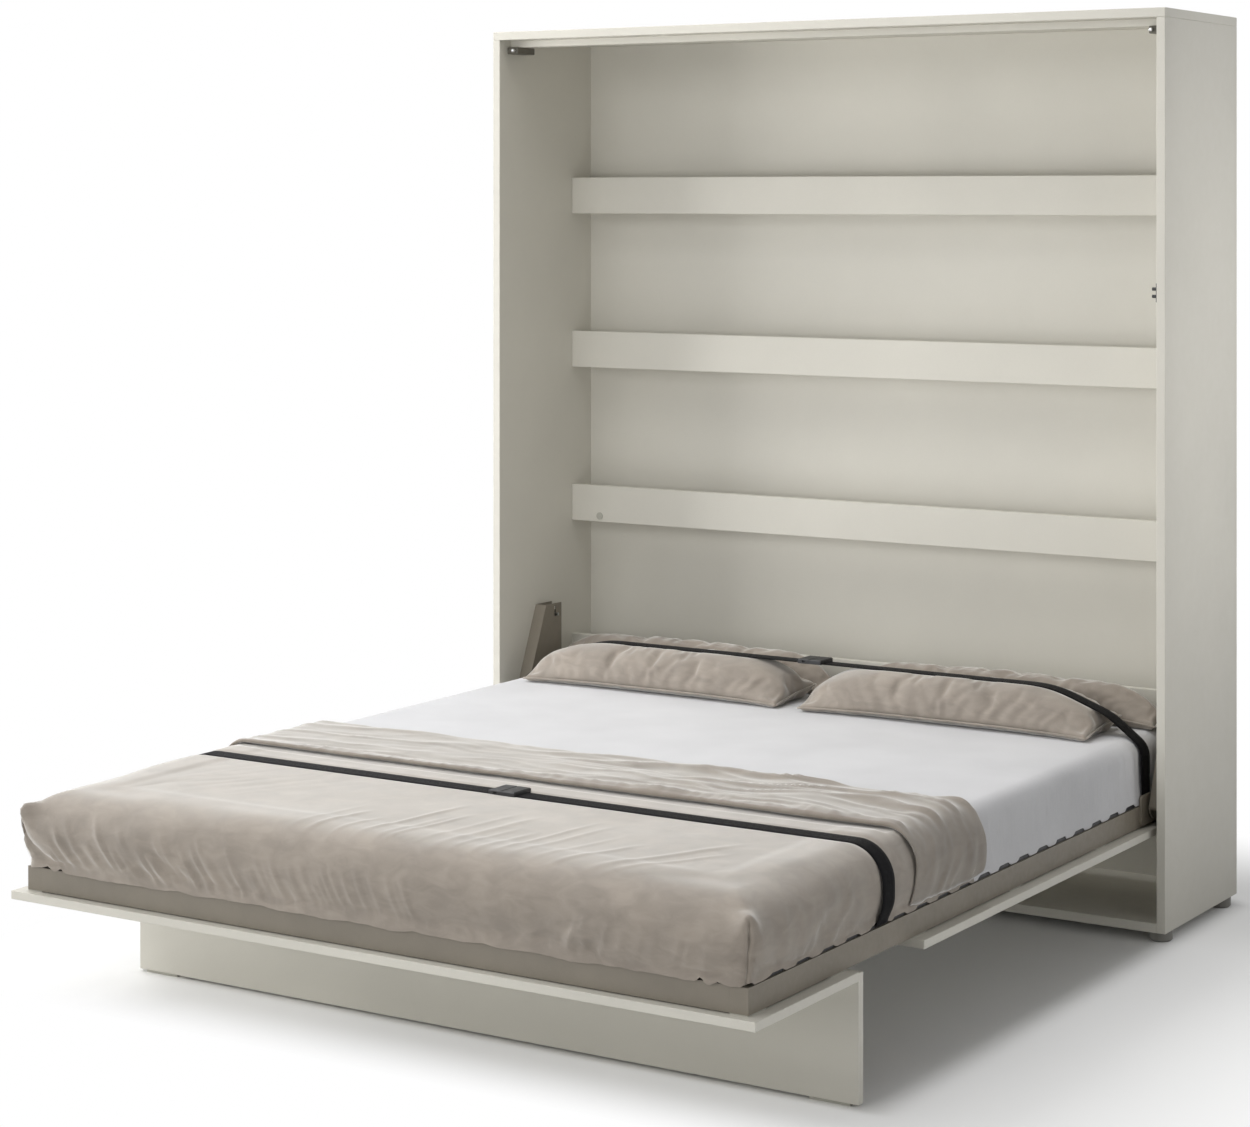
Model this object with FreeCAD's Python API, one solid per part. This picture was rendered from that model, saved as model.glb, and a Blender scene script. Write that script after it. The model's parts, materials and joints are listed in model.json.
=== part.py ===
import FreeCAD
import Part
import math
import os

# Vertical wall bed, shown folded down. Lengths are in millimetres.
# X runs across the bed, Y runs from the foot end towards the wall, Z is up.
# Y is zero at the cabinet's front edges while the pieces are made. The finished pieces are
# then moved along Y, so that the origin is on the floor under the middle of the whole bed.

# Mattress and the bed frame of rectangular steel tube
mattress_length = 2000.0
mattress_width = 1780.0
mattress_thickness = 140.0
mattress_edge = 45.0
frame_side_margin = 7.0
frame_end_margin = 5.0
tube_width = 40.0
tube_height = 50.0
tube_wall = 2.0
beam_height = 30.0
cap_thickness = 3.0
cap_plug = 15.0
cap_fit = 0.2

# Pivot of the bed, and where the folded front comes to rest
pivot_height = 308.0
pivot_depth = 67.0
pivot_to_head = 183.0
front_reveal = 2.0
top_gap = 4.0

# Front boards under the bed, which close the cabinet when the bed is up
front_thickness = 18.0
front_overhang = 22.0
front_side_gap = 18.0
spacer_thickness = 2.0
spacer_length = 60.0
spacer_pitch = 330.0
sweep_clearance = 3.0

# Cabinet boards
board = 22.0
board_chamfer = 1.0
cabinet_depth = 450.0
mechanism_gap = 46.0
back_thickness = 3.0
back_inset = 17.0
groove_depth = 8.0
groove_end_gap = 0.5
rail_height = 100.0
rail_thickness = 18.0
rail_standoff = 74.0
rail_pitch = 425.0
lower_rail_top = 941.0
headboard_rail_top = 527.0
batten_height = 18.0
batten_width = 40.0
batten_setback = 48.0
dowel_radius = 4.0
dowel_in_side = 12.0
dowel_in_rail = 18.0
dowel_end_gap = 0.5
dowel_inset = 25.0
foot_height = 25.0
foot_radius = 27.0
foot_inset = 42.0
foot_chamfer = 4.0
foot_edge_gap = 1.0
cam_cap_radius = 10.0
cam_cap_thickness = 2.0
cam_cap_inset = 93.0
cam_cap_rise = 16.0

# Folded steel brackets that carry the pivots, and their screws
bracket_steel = 3.0
bracket_width = 35.0
bracket_rise = 320.0
bracket_rear = 170.0
bracket_top_width = 72.0
bracket_skirt = 92.0
bracket_lobe = 30.0
pivot_radius = 8.0
bush_wall = 3.0
bush_flange_radius = 16.0
bush_play = 0.5
arm_thickness = 6.0
arm_front = 60.0
arm_rise = 24.0
arm_foot = 4.0
arm_margin = 20.0
arm_corner = 12.0
screw_radius = 2.2
screw_head_radius = 4.5
screw_head_height = 2.5
screw_length = 16.0
screw_inset = 14.0

# Gas springs between the brackets and the pivot arms
lever_radius = 80.0
anchor_rear = 15.0
anchor_drop = 31.0
anchor_radius = 4.0
hook_slot_height = 28.0
hook_slot_reach = 14.0
gas_tube_radius = 11.0
gas_tube_wall = 2.0
gas_end_wall = 8.0
gas_rod_radius = 5.0
gas_rod_show = 10.0
gas_neck_radius = 6.0
gas_neck_length = 20.0
gas_eye_radius = 12.0
gas_eye_width = 12.0
piston_length = 12.0
piston_end_gap = 2.0
open_pivot_gap = 0.3

# Push catches under the top board, and the guide on the right side
catch_width = 34.0
catch_length = 80.0
catch_height = 18.0
catch_setback = 34.0
catch_edge = 2.0
plunger_radius = 5.0
plunger_in_catch = 30.0
plunger_travel = 12.0
plunger_offset = 25.0
plunger_tip = 3.5
touch_gap = 0.5
guide_height = 1514.0
guide_plate_height = 44.0
guide_plate_width = 22.0
guide_plate_thickness = 3.0
guide_setback = 4.0
guide_prong_radius = 4.0
guide_prong_length = 13.0
guide_prong_pitch = 17.0

# Slatted base
slat_width = 53.0
slat_thickness = 8.0
slat_pitch = 95.0
slat_fit = 0.2
holder_length = 35.0
holder_wall = 2.5
holder_skin = 1.3
holder_edge = 5.0

# Fold-out leg, a strip of the front that hinges on two steel clevises
leg_setback = 374.0
leg_head = 5.0
leg_side_trim = 3.0
leg_glide_height = 5.0
leg_glide_length = 90.0
leg_glide_width = 14.0
leg_glide_inset = 20.0
leg_hinge_place = 600.0
leg_pin_radius = 4.0
leg_lobe = 7.0
leg_plate = 5.0
clevis_steel = 3.0
clevis_play = 0.5
clevis_depth = 30.0
clevis_side_room = 7.0
clevis_fit = 0.1
leg_pin_overhang = 2.0
cross_rail_height = 20.0

# Bedding
soft_gap = 0.3
duvet_tuck = 3.0
duvet_bulge = 20.0
duvet_shoulder = 78.0
duvet_top = 8.0
duvet_length = 910.0
duvet_fold_depth = 295.0
duvet_fold_side = 6.0
duvet_fold_top = 12.0
duvet_fold_roll = 5.0
pillow_seam = 6.0
pillow_draw = 16.0
pillow_droop = 12.0
front_pillow_middle_gap = 45.0
front_pillow_side_gap = 100.0
front_pillow_head_gap = 118.0
front_pillow_depth = 205.0
front_pillow_seam_rise = 20.0
front_pillow_back_rise = 62.0
front_pillow_crown = 62.0
front_pillow_belly = 36.0
back_pillow_middle_gap = 27.0
back_pillow_side_gap = 13.0
back_pillow_head_gap = 2.0
back_pillow_gap = 12.0
back_pillow_crown = 50.0
back_pillow_belly = 24.0

# Straps that hold the bedding when the bed is up
strap_width = 50.0
strap_thickness = 2.0
strap_gap = 0.5
head_strap_setback = 200.0
foot_strap_setback = 500.0
foot_strap_start_rise = 6.0
foot_strap_turn_rise = 42.0
foot_strap_bends = (12.0, 60.0)
head_strap_shoulder_inset = 135.0
head_strap_hip_gap = 12.0
head_strap_hip_rise = 49.0
head_strap_turn_drop = 20.0
head_strap_bends = (50.0, 150.0, 300.0)
buckle_length = 66.0
buckle_width = 62.0
buckle_height = 11.0
buckle_chamfer = 2.0
buckle_wall = 3.0
buckle_slot_depth = 10.0
buckle_fit = 0.3
prong_width = 6.0
prong_length = 20.0

# Fits and the overrun of every cut
running_clearance = 0.05
overrun = 1.0

# Shares of a pillow's half width at which its sections stand, and its fullness at each
pillow_station_shares = (-1.0, -0.92, -0.6, 0.0, 0.6, 0.92, 1.0)
pillow_fullness_shares = (0.12, 0.42, 0.88, 1.0, 0.88, 0.42, 0.12)

# Heights of the bed, from the pivot upwards
front_underside = pivot_height - pivot_depth + front_reveal
front_top = front_underside + front_thickness
frame_bottom = front_top + spacer_thickness
frame_top = frame_bottom + tube_height
holder_height = slat_thickness + 2 * (slat_fit + holder_skin)
mattress_bottom = frame_top + holder_height + soft_gap
mattress_top = mattress_bottom + mattress_thickness
quilt_inner_top = mattress_top + soft_gap
duvet_surface = quilt_inner_top + duvet_top

# Places along the bed
mattress_head = pivot_depth + pivot_to_head
mattress_foot = mattress_head - mattress_length
frame_head = mattress_head + frame_end_margin
frame_foot = mattress_foot - frame_end_margin
front_foot = frame_foot - front_overhang

# Places across the bed
quilt_inner_side = mattress_width / 2 + soft_gap
frame_half = mattress_width / 2 + frame_side_margin
inner_half = frame_half + mechanism_gap
cabinet_half = inner_half + board
front_half = inner_half - front_side_gap

# Cabinet, as high as the folded bed needs
cabinet_height = pivot_height + pivot_depth - front_foot + top_gap + board
top_underside = cabinet_height - board
base_top = foot_height + board
back_rear = cabinet_depth - back_inset
back_front = back_rear - back_thickness
rail_rear = back_front - rail_standoff
rail_front = rail_rear - rail_thickness
batten_bottom = top_underside - batten_height

# Leg axis, in the middle of the leg's thickness, and the boards on each side of it
leg_axis_y = frame_foot + leg_setback
leg_axis_z = front_underside + front_thickness / 2
leg_corner = math.hypot(front_thickness / 2, leg_head)
foot_front_end = leg_axis_y - leg_corner - sweep_clearance
lower_front_start = leg_axis_y + leg_axis_z + sweep_clearance
swing_room = pivot_height - base_top - sweep_clearance
front_drop = pivot_height - front_underside
lower_front_end = pivot_depth + math.sqrt(swing_room ** 2 - front_drop ** 2)

# Gas spring anchors: the fixed eye on the bracket and the stud on the pivot arm
bracket_top = pivot_height + bracket_rise
bracket_back = pivot_depth + bracket_rear
anchor_y = bracket_back - anchor_rear
anchor_z = bracket_top - anchor_drop
stud_y = pivot_depth + lever_radius
stud_z = pivot_height
spring_length = math.hypot(stud_y - anchor_y, stud_z - anchor_z)

origin_shift = -(front_foot + cabinet_depth) / 2


def vector(x, y, z):
    return FreeCAD.Vector(x, y, z)


def block(x0, x1, y0, y1, z0, z1):
    return Part.makeBox(x1 - x0, y1 - y0, z1 - z0, vector(x0, y0, z0))


def panel(x0, x1, y0, y1, z0, z1):
    """A board with its edges taken off."""
    shape = block(x0, x1, y0, y1, z0, z1)
    return shape.makeChamfer(board_chamfer, shape.Edges)


def rod_x(radius, x0, x1, y, z):
    return Part.makeCylinder(radius, x1 - x0, vector(x0, y, z), vector(1, 0, 0))


def rod_y(radius, y0, y1, x, z):
    return Part.makeCylinder(radius, y1 - y0, vector(x, y0, z), vector(0, 1, 0))


def rod_z(radius, z0, z1, x, y):
    return Part.makeCylinder(radius, z1 - z0, vector(x, y, z0), vector(0, 0, 1))


def mirrored(shape):
    return shape.mirror(vector(0, 0, 0), vector(1, 0, 0))


def group(shapes):
    return Part.makeCompound(shapes)


def wall_x(distance):
    """X of a plane at a distance from the left side's inner face."""
    return distance - inner_half


def prism_x(points, x0, x1):
    """A closed outline in the YZ plane, extruded along X."""
    corners = [vector(x0, y, z) for y, z in points]
    face = Part.Face(Part.makePolygon(corners + corners[:1]))
    return face.extrude(vector(x1 - x0, 0, 0))


def save(node, shape):
    moved = shape.copy()
    moved.translate(vector(0, origin_shift, 0))
    moved.exportStep(os.path.join("parts", node + ".step"))


def rail_tops():
    """Upper edge of each cross rail, by name."""
    return {
        "headboard_rail": headboard_rail_top,
        "lower_rail": lower_rail_top,
        "middle_rail": lower_rail_top + rail_pitch,
        "upper_rail": lower_rail_top + 2 * rail_pitch,
    }


def dowel_places():
    """Height of every dowel on one side of the cabinet."""
    places = []
    for rail_top in rail_tops().values():
        places.append(rail_top - dowel_inset)
        places.append(rail_top - rail_height + dowel_inset)
    return places


def dowel(height, grow=0.0, end_gap=0.0):
    start = wall_x(-dowel_in_side - end_gap)
    end = wall_x(dowel_in_rail + end_gap)
    return rod_x(dowel_radius + grow, start, end, rail_rear - rail_thickness / 2, height)


def dowel_holes():
    return [dowel(height, running_clearance, dowel_end_gap) for height in dowel_places()]


def bracket_front(height):
    """Front edge of the pivot bracket at a height."""
    low = pivot_depth - bracket_lobe
    high = bracket_back - bracket_top_width
    return low + (high - low) * (height - pivot_height) / bracket_rise


def screw_places():
    """Y and Z of the screws that hold a pivot bracket to the cabinet side."""
    upper = bracket_top - anchor_drop
    middle = pivot_height + bracket_rise / 2
    low = pivot_height + bracket_skirt + screw_inset
    return [
        (bracket_front(upper) + screw_inset, upper),
        (bracket_front(middle) + screw_inset, middle),
        (bracket_back - screw_inset, middle),
        (bracket_back - screw_inset, low),
    ]


def screw_shank(place, grow=0.0, end_gap=0.0):
    start = wall_x(bracket_steel - screw_length - end_gap)
    return rod_x(screw_radius + grow, start, wall_x(bracket_steel), place[0], place[1])


def bracket_screw(place):
    x0 = wall_x(bracket_steel)
    head = rod_x(screw_head_radius, x0, x0 + screw_head_height, place[0], place[1])
    return screw_shank(place).fuse(head).removeSplitter()


def side_panel():
    """Left side of the cabinet, with its back groove, dowel holes and screw holes."""
    shape = panel(-cabinet_half, -inner_half, 0, cabinet_depth, foot_height, top_underside)
    groove = block(
        -inner_half - groove_depth, -inner_half + overrun,
        back_front, back_rear, foot_height - overrun, top_underside + overrun,
    )
    holes = [screw_shank(place, running_clearance, dowel_end_gap) for place in screw_places()]
    return shape.cut([groove] + dowel_holes() + holes)


def make_cabinet():
    save("left_side_panel", side_panel())
    save("right_side_panel", mirrored(side_panel()))

    top = panel(-cabinet_half, cabinet_half, 0, cabinet_depth, top_underside, cabinet_height)
    top_groove = block(
        -inner_half, inner_half, back_front, back_rear,
        top_underside - overrun, top_underside + groove_depth,
    )
    save("top_panel", top.cut(top_groove))

    base = panel(-inner_half, inner_half, 0, cabinet_depth, foot_height, base_top)
    base_groove = block(
        -inner_half - overrun, inner_half + overrun, back_front, back_rear,
        base_top - groove_depth, base_top + overrun,
    )
    save("bottom_panel", base.cut(base_groove))

    reach = groove_depth - groove_end_gap
    back_half = inner_half + reach
    save("back_panel", block(
        -back_half, back_half, back_front, back_rear, base_top - reach, top_underside,
    ))

    holes = dowel_holes()
    holes += [mirrored(hole) for hole in dowel_holes()]
    for node, rail_top in rail_tops().items():
        rail = panel(-inner_half, inner_half, rail_front, rail_rear, rail_top - rail_height, rail_top)
        save(node, rail.cut(holes))
    dowels = [dowel(height) for height in dowel_places()]
    save("rail_dowels", group(dowels + [mirrored(piece) for piece in dowels]))

    save("top_stop_batten", panel(
        -inner_half, inner_half, batten_setback, batten_setback + batten_width,
        batten_bottom, top_underside,
    ))
    save("cam_cover_cap", rod_y(
        cam_cap_radius, rail_front - cam_cap_thickness, rail_front,
        wall_x(cam_cap_inset), lower_rail_top - rail_height + cam_cap_rise,
    ))
    save("glide_feet", group([glide_foot(x, y) for x, y in foot_places()]))


def foot_places():
    x = cabinet_half - foot_radius - foot_edge_gap
    rear = cabinet_depth - foot_inset
    return [(-x, foot_inset), (x, foot_inset), (-x, rear), (x, rear)]


def glide_foot(x, y):
    shape = rod_z(foot_radius, 0, foot_height, x, y)
    lower_rim = [edge for edge in shape.Edges if edge.BoundBox.ZMax < foot_height / 2]
    return shape.makeChamfer(foot_chamfer, lower_rim)


def pivot_bracket():
    """Folded channel on the left side: a base plate, a sloping front web and an inner plate."""
    low_front = vector(0, pivot_depth - bracket_lobe, pivot_height)
    low_rear = vector(0, pivot_depth + bracket_lobe, pivot_height)
    lowest = vector(0, pivot_depth, pivot_height - bracket_lobe)
    top_front = vector(0, bracket_back - bracket_top_width, bracket_top)
    top_rear = vector(0, bracket_back, bracket_top)
    skirt = vector(0, bracket_back, pivot_height + bracket_skirt)
    outline = Part.Wire([
        Part.Arc(low_rear, lowest, low_front).toShape(),
        Part.LineSegment(low_front, top_front).toShape(),
        Part.LineSegment(top_front, top_rear).toShape(),
        Part.LineSegment(top_rear, skirt).toShape(),
        Part.LineSegment(skirt, low_rear).toShape(),
    ])
    plate = Part.Face(outline)
    plate.translate(vector(wall_x(0), 0, 0))
    shape = plate.extrude(vector(bracket_width, 0, 0))

    # The channel is open at the top, at the rear and at the bottom.
    low = pivot_height - bracket_lobe - overrun
    high = bracket_top + overrun
    rear = bracket_back + overrun
    cavity = prism_x(
        [
            (bracket_front(low) + bracket_steel, low), (rear, low),
            (rear, high), (bracket_front(high) + bracket_steel, high),
        ],
        wall_x(bracket_steel), wall_x(bracket_width - bracket_steel),
    )
    pivot_hole = rod_x(
        pivot_radius + running_clearance, wall_x(-overrun), wall_x(bracket_width + overrun),
        pivot_depth, pivot_height,
    )
    anchor_hole = rod_x(
        anchor_radius + running_clearance, wall_x(-overrun), wall_x(bracket_width + overrun),
        anchor_y, anchor_z,
    )
    cuts = [cavity, pivot_hole, anchor_hole] + hook_slot()
    cuts += [screw_shank(place, running_clearance, overrun) for place in screw_places()]
    return shape.cut(cuts)


def hook_slot():
    """L-shaped slot in the inner plate, through which the gas spring's anchor is hooked in."""
    half = anchor_radius + running_clearance
    x0 = wall_x(bracket_width - bracket_steel - overrun)
    x1 = wall_x(bracket_width + overrun)
    corner = anchor_y - hook_slot_reach
    upright = block(
        x0, x1, corner - half, corner + half, anchor_z - half, anchor_z - half + hook_slot_height,
    )
    foot = block(x0, x1, corner, anchor_y, anchor_z - half, anchor_z + half)
    return [upright, foot]


def pivot_bush():
    """Flanged plain bush, pressed into the pivot arm and turning on the pivot pin."""
    face = wall_x(mechanism_gap - arm_thickness)
    flange_start = wall_x(bracket_width + bush_play)
    sleeve_end = wall_x(mechanism_gap - bush_play)
    flange = rod_x(bush_flange_radius, flange_start, face, pivot_depth, pivot_height)
    sleeve = rod_x(pivot_radius + bush_wall, flange_start, sleeve_end, pivot_depth, pivot_height)
    bore = rod_x(
        pivot_radius + running_clearance, flange_start - overrun, sleeve_end + overrun,
        pivot_depth, pivot_height,
    )
    return flange.fuse(sleeve).cut(bore).removeSplitter()


def pivot_arm():
    """Plate welded to the left side rail, with the pivot hole and the gas spring's stud."""
    x0 = wall_x(mechanism_gap - arm_thickness)
    x1 = wall_x(mechanism_gap)
    plate = block(
        x0, x1, pivot_depth - arm_front, stud_y + arm_margin,
        frame_bottom + arm_foot, frame_top + arm_rise,
    )
    corners = [edge for edge in plate.Edges if edge.BoundBox.XLength > arm_thickness / 2]
    plate = plate.makeFillet(arm_corner, corners)
    hole = rod_x(
        pivot_radius + bush_wall + running_clearance, x0 - overrun, x1 + overrun,
        pivot_depth, pivot_height,
    )
    eye_face = (bracket_width + gas_eye_width) / 2
    stud = rod_x(anchor_radius, wall_x(eye_face + open_pivot_gap), x0 + overrun, stud_y, stud_z)
    return plate.cut(hole).fuse(stud).removeSplitter()


def gas_eye(along):
    """Round eye on the gas spring's line, bored for its pin."""
    half = gas_eye_width / 2
    eye = rod_x(gas_eye_radius, -half, half, 0, along)
    hole = rod_x(anchor_radius + running_clearance, -half - overrun, half + overrun, 0, along)
    return eye, hole


def gas_tube():
    """Cylinder of the gas spring, drawn along +Z from the anchor's eye."""
    eye, hole = gas_eye(0)
    end = spring_length - gas_eye_radius - gas_rod_show
    neck = rod_z(gas_neck_radius, 0, gas_neck_length + overrun, 0, 0)
    tube = rod_z(gas_tube_radius, gas_neck_length, end, 0, 0)
    bore_start = gas_neck_length + gas_end_wall
    bore = rod_z(gas_tube_radius - gas_tube_wall, bore_start, end - gas_end_wall, 0, 0)
    guide = rod_z(gas_rod_radius + running_clearance, bore_start, end + overrun, 0, 0)
    return eye.fuse([neck, tube]).cut([hole, bore, guide]).removeSplitter()


def gas_rod():
    """Piston rod of the gas spring, on the same line, ending in the eye at the lever's stud."""
    start = gas_neck_length + gas_end_wall + piston_end_gap
    piston_radius = gas_tube_radius - gas_tube_wall - running_clearance
    piston = rod_z(piston_radius, start, start + piston_length, 0, 0)
    shaft = rod_z(gas_rod_radius, start, spring_length, 0, 0)
    eye, hole = gas_eye(spring_length)
    return shaft.fuse([piston, eye]).cut(hole).removeSplitter()


def on_spring_line(shape):
    """Turns a piece drawn along +Z onto the line from the anchor to the stud."""
    placed = shape.copy()
    turn = math.degrees(math.atan2(-(stud_y - anchor_y), stud_z - anchor_z))
    placed.rotate(vector(0, 0, 0), vector(1, 0, 0), turn)
    placed.translate(vector(wall_x(bracket_width / 2), anchor_y, anchor_z))
    return placed


def make_mechanism():
    bracket = pivot_bracket()
    pin = rod_x(
        pivot_radius, wall_x(0), wall_x(mechanism_gap - bush_play), pivot_depth, pivot_height,
    )
    anchor = rod_x(anchor_radius, wall_x(0), wall_x(bracket_width), anchor_y, anchor_z)
    screws = [bracket_screw(place) for place in screw_places()]
    tube = on_spring_line(gas_tube())
    rod = on_spring_line(gas_rod())
    arm = pivot_arm()
    bush = pivot_bush()
    save("left_pivot_bracket", bracket)
    save("right_pivot_bracket", mirrored(bracket))
    save("left_gas_spring_tube", tube)
    save("right_gas_spring_tube", mirrored(tube))
    save("left_gas_spring_rod", rod)
    save("right_gas_spring_rod", mirrored(rod))
    save("left_pivot_arm", arm)
    save("right_pivot_arm", mirrored(arm))
    save("pivot_pins", group([pin, mirrored(pin)]))
    save("pivot_bushes", group([bush, mirrored(bush)]))
    save("gas_spring_anchor_pins", group([anchor, mirrored(anchor)]))
    save("bracket_screws", group(screws + [mirrored(screw) for screw in screws]))


def push_catch():
    """Housing of the left push catch, bored for its plunger."""
    shape = block(
        wall_x(0), wall_x(catch_width), catch_setback, catch_setback + catch_length,
        batten_bottom - catch_height, batten_bottom,
    )
    shape = shape.makeChamfer(catch_edge, shape.Edges)
    bore = rod_y(
        plunger_radius + running_clearance, catch_setback - overrun,
        catch_setback + plunger_in_catch + plunger_travel + overrun,
        wall_x(plunger_offset), batten_bottom - catch_height / 2,
    )
    return shape.cut(bore)


def catch_plunger():
    """Sprung plunger, which the folded front just reaches."""
    start = front_reveal + front_thickness + touch_gap
    shape = rod_y(
        plunger_radius, start, catch_setback + plunger_in_catch,
        wall_x(plunger_offset), batten_bottom - catch_height / 2,
    )
    tip = [edge for edge in shape.Edges if edge.BoundBox.YMax < catch_setback]
    return shape.makeFillet(plunger_tip, tip)


def side_guide():
    """Moulded guide on the right side: a plate with two prongs that centre the folded front."""
    prong_y = guide_setback + guide_plate_width / 2
    shape = block(
        inner_half - guide_plate_thickness, inner_half,
        guide_setback, guide_setback + guide_plate_width,
        guide_height - guide_plate_height / 2, guide_height + guide_plate_height / 2,
    )
    prongs = []
    for side in (-1, 1):
        prongs.append(rod_x(
            guide_prong_radius, inner_half - guide_plate_thickness - guide_prong_length,
            inner_half - guide_plate_thickness / 2,
            prong_y, guide_height + side * guide_prong_pitch / 2,
        ))
    return shape.fuse(prongs).removeSplitter()


def make_catches():
    save("left_push_catch", push_catch())
    save("right_push_catch", mirrored(push_catch()))
    save("left_catch_plunger", catch_plunger())
    save("right_catch_plunger", mirrored(catch_plunger()))
    save("side_guide", side_guide())


def tube_along_y(x0, x1, y0, y1, z0, z1):
    inside = block(
        x0 + tube_wall, x1 - tube_wall, y0 - overrun, y1 + overrun, z0 + tube_wall, z1 - tube_wall,
    )
    return block(x0, x1, y0, y1, z0, z1).cut(inside)


def tube_along_x(x0, x1, y0, y1, z0, z1):
    inside = block(
        x0 - overrun, x1 + overrun, y0 + tube_wall, y1 - tube_wall, z0 + tube_wall, z1 - tube_wall,
    )
    return block(x0, x1, y0, y1, z0, z1).cut(inside)


def tube_cap(outside, inside):
    """Plug in the end of the left side rail, between its outer face and its inner end in Y."""
    x0 = -frame_half
    x1 = x0 + tube_width
    inset = tube_wall + cap_fit
    towards = 1 if inside > outside else -1
    face = outside + towards * cap_thickness
    plate = block(x0, x1, min(outside, face), max(outside, face), frame_bottom, frame_top)
    plug = block(
        x0 + inset, x1 - inset, min(face, inside), max(face, inside),
        frame_bottom + inset, frame_top - inset,
    )
    return plate.fuse(plug)


def slat_places():
    """Y of the near edge of each slat, evenly spread between the end rails."""
    first = frame_foot + tube_width + holder_wall + slat_fit
    last = frame_head - tube_width - holder_wall - slat_fit - slat_width
    count = int((last - first) / slat_pitch) + 1
    spare = last - first - (count - 1) * slat_pitch
    return [first + spare / 2 + index * slat_pitch for index in range(count)]


def slat_bank(places):
    """Left row of slats, from the side rail's holders to the centre beam's."""
    start = -frame_half + holder_edge + holder_wall + slat_fit
    end = -holder_wall / 2 - slat_fit
    low = frame_top + holder_skin + slat_fit
    return [block(start, end, y, y + slat_width, low, low + slat_thickness) for y in places]


def slat_holder(x0, x1, y, walls):
    """Holder round a slat's end; walls are the X ranges of the pockets in it."""
    reach = holder_wall + slat_fit
    shape = block(x0, x1, y - reach, y + slat_width + reach, frame_top, frame_top + holder_height)
    pockets = []
    for start, end in walls:
        pockets.append(block(
            start, end, y - slat_fit, y + slat_width + slat_fit,
            frame_top + holder_skin, frame_top + holder_height - holder_skin,
        ))
    return shape.cut(pockets)


def slat_holders(places):
    outer = -frame_half + holder_edge
    half_beam = tube_width / 2
    holders = []
    for y in places:
        pocket = (outer + holder_wall, outer + holder_length + overrun)
        side = slat_holder(outer, outer + holder_length, y, [pocket])
        left = (-half_beam - overrun, -holder_wall / 2)
        right = (holder_wall / 2, half_beam + overrun)
        holders.append(side)
        holders.append(mirrored(side))
        holders.append(slat_holder(-half_beam, half_beam, y, [left, right]))
    return holders


def make_frame():
    inner = frame_half - tube_width
    rail = tube_along_y(
        -frame_half, -inner, frame_foot + cap_thickness, frame_head - cap_thickness,
        frame_bottom, frame_top,
    )
    save("left_side_rail", rail)
    save("right_side_rail", mirrored(rail))
    save("foot_end_rail", tube_along_x(
        -inner, inner, frame_foot, frame_foot + tube_width, frame_bottom, frame_top,
    ))
    save("head_end_rail", tube_along_x(
        -inner, inner, frame_head - tube_width, frame_head, frame_bottom, frame_top,
    ))
    save("centre_beam", tube_along_y(
        -tube_width / 2, tube_width / 2, frame_foot + tube_width, frame_head - tube_width,
        frame_top - beam_height, frame_top,
    ))
    save("leg_cross_rail", tube_along_x(
        -inner, inner, leg_axis_y - tube_width / 2, leg_axis_y + tube_width / 2,
        frame_bottom, frame_bottom + cross_rail_height,
    ))
    caps = [
        tube_cap(frame_foot, frame_foot + cap_thickness + cap_plug),
        tube_cap(frame_head, frame_head - cap_thickness - cap_plug),
    ]
    save("tube_end_caps", group(caps + [mirrored(cap) for cap in caps]))

    places = slat_places()
    slats = slat_bank(places)
    save("left_slats", group(slats))
    save("right_slats", group([mirrored(slat) for slat in slats]))
    save("slat_holders", group(slat_holders(places)))


def front_spacers():
    """Pads between the side rails and the front boards, at each end of a board and between."""
    x0 = -frame_half
    x1 = x0 + tube_width
    pads = []
    runs = [(frame_foot, foot_front_end), (lower_front_start, frame_head)]
    for start, end in runs:
        count = max(2, round((end - start) / spacer_pitch))
        step = (end - start - spacer_length) / (count - 1)
        for index in range(count):
            y = start + index * step
            pads.append(block(x0, x1, y, y + spacer_length, front_top, frame_bottom))
    return pads + [mirrored(pad) for pad in pads]


def make_fronts():
    save("foot_front_panel", panel(
        -front_half, front_half, front_foot, foot_front_end, front_underside, front_top,
    ))
    save("lower_front_panel", panel(
        -front_half, front_half, lower_front_start, lower_front_end, front_underside, front_top,
    ))
    save("front_spacers", group(front_spacers()))


def clevis_half():
    """Half the width of the clevis, from the bracket plate's middle to an ear's outer face."""
    return leg_plate / 2 + clevis_play + clevis_steel


def leg_bracket():
    """Plate under the cross rail, on which the leg turns."""
    x0 = leg_hinge_place - leg_plate / 2
    x1 = leg_hinge_place + leg_plate / 2
    upright = block(x0, x1, leg_axis_y - leg_lobe, leg_axis_y + leg_lobe, leg_axis_z, frame_bottom)
    lobe = rod_x(leg_lobe, x0, x1, leg_axis_y, leg_axis_z)
    hole = rod_x(
        leg_pin_radius + running_clearance, x0 - overrun, x1 + overrun, leg_axis_y, leg_axis_z,
    )
    return upright.fuse(lobe).cut(hole).removeSplitter()


def leg_clevis():
    """Two ears on a foot plate, let into the leg's upper edge."""
    half = clevis_half()
    low = leg_axis_z - clevis_depth
    body = block(
        leg_hinge_place - half, leg_hinge_place + half,
        leg_axis_y - leg_lobe, leg_axis_y + leg_lobe, low, leg_axis_z,
    )
    lobe = rod_x(leg_lobe, leg_hinge_place - half, leg_hinge_place + half, leg_axis_y, leg_axis_z)
    slot_half = leg_plate / 2 + clevis_play
    slot = block(
        leg_hinge_place - slot_half, leg_hinge_place + slot_half,
        leg_axis_y - leg_lobe - overrun, leg_axis_y + leg_lobe + overrun,
        low + clevis_steel, leg_axis_z + leg_lobe + overrun,
    )
    hole = rod_x(
        leg_pin_radius + running_clearance, leg_hinge_place - half - overrun,
        leg_hinge_place + half + overrun, leg_axis_y, leg_axis_z,
    )
    return body.fuse(lobe).cut([slot, hole]).removeSplitter()


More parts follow.
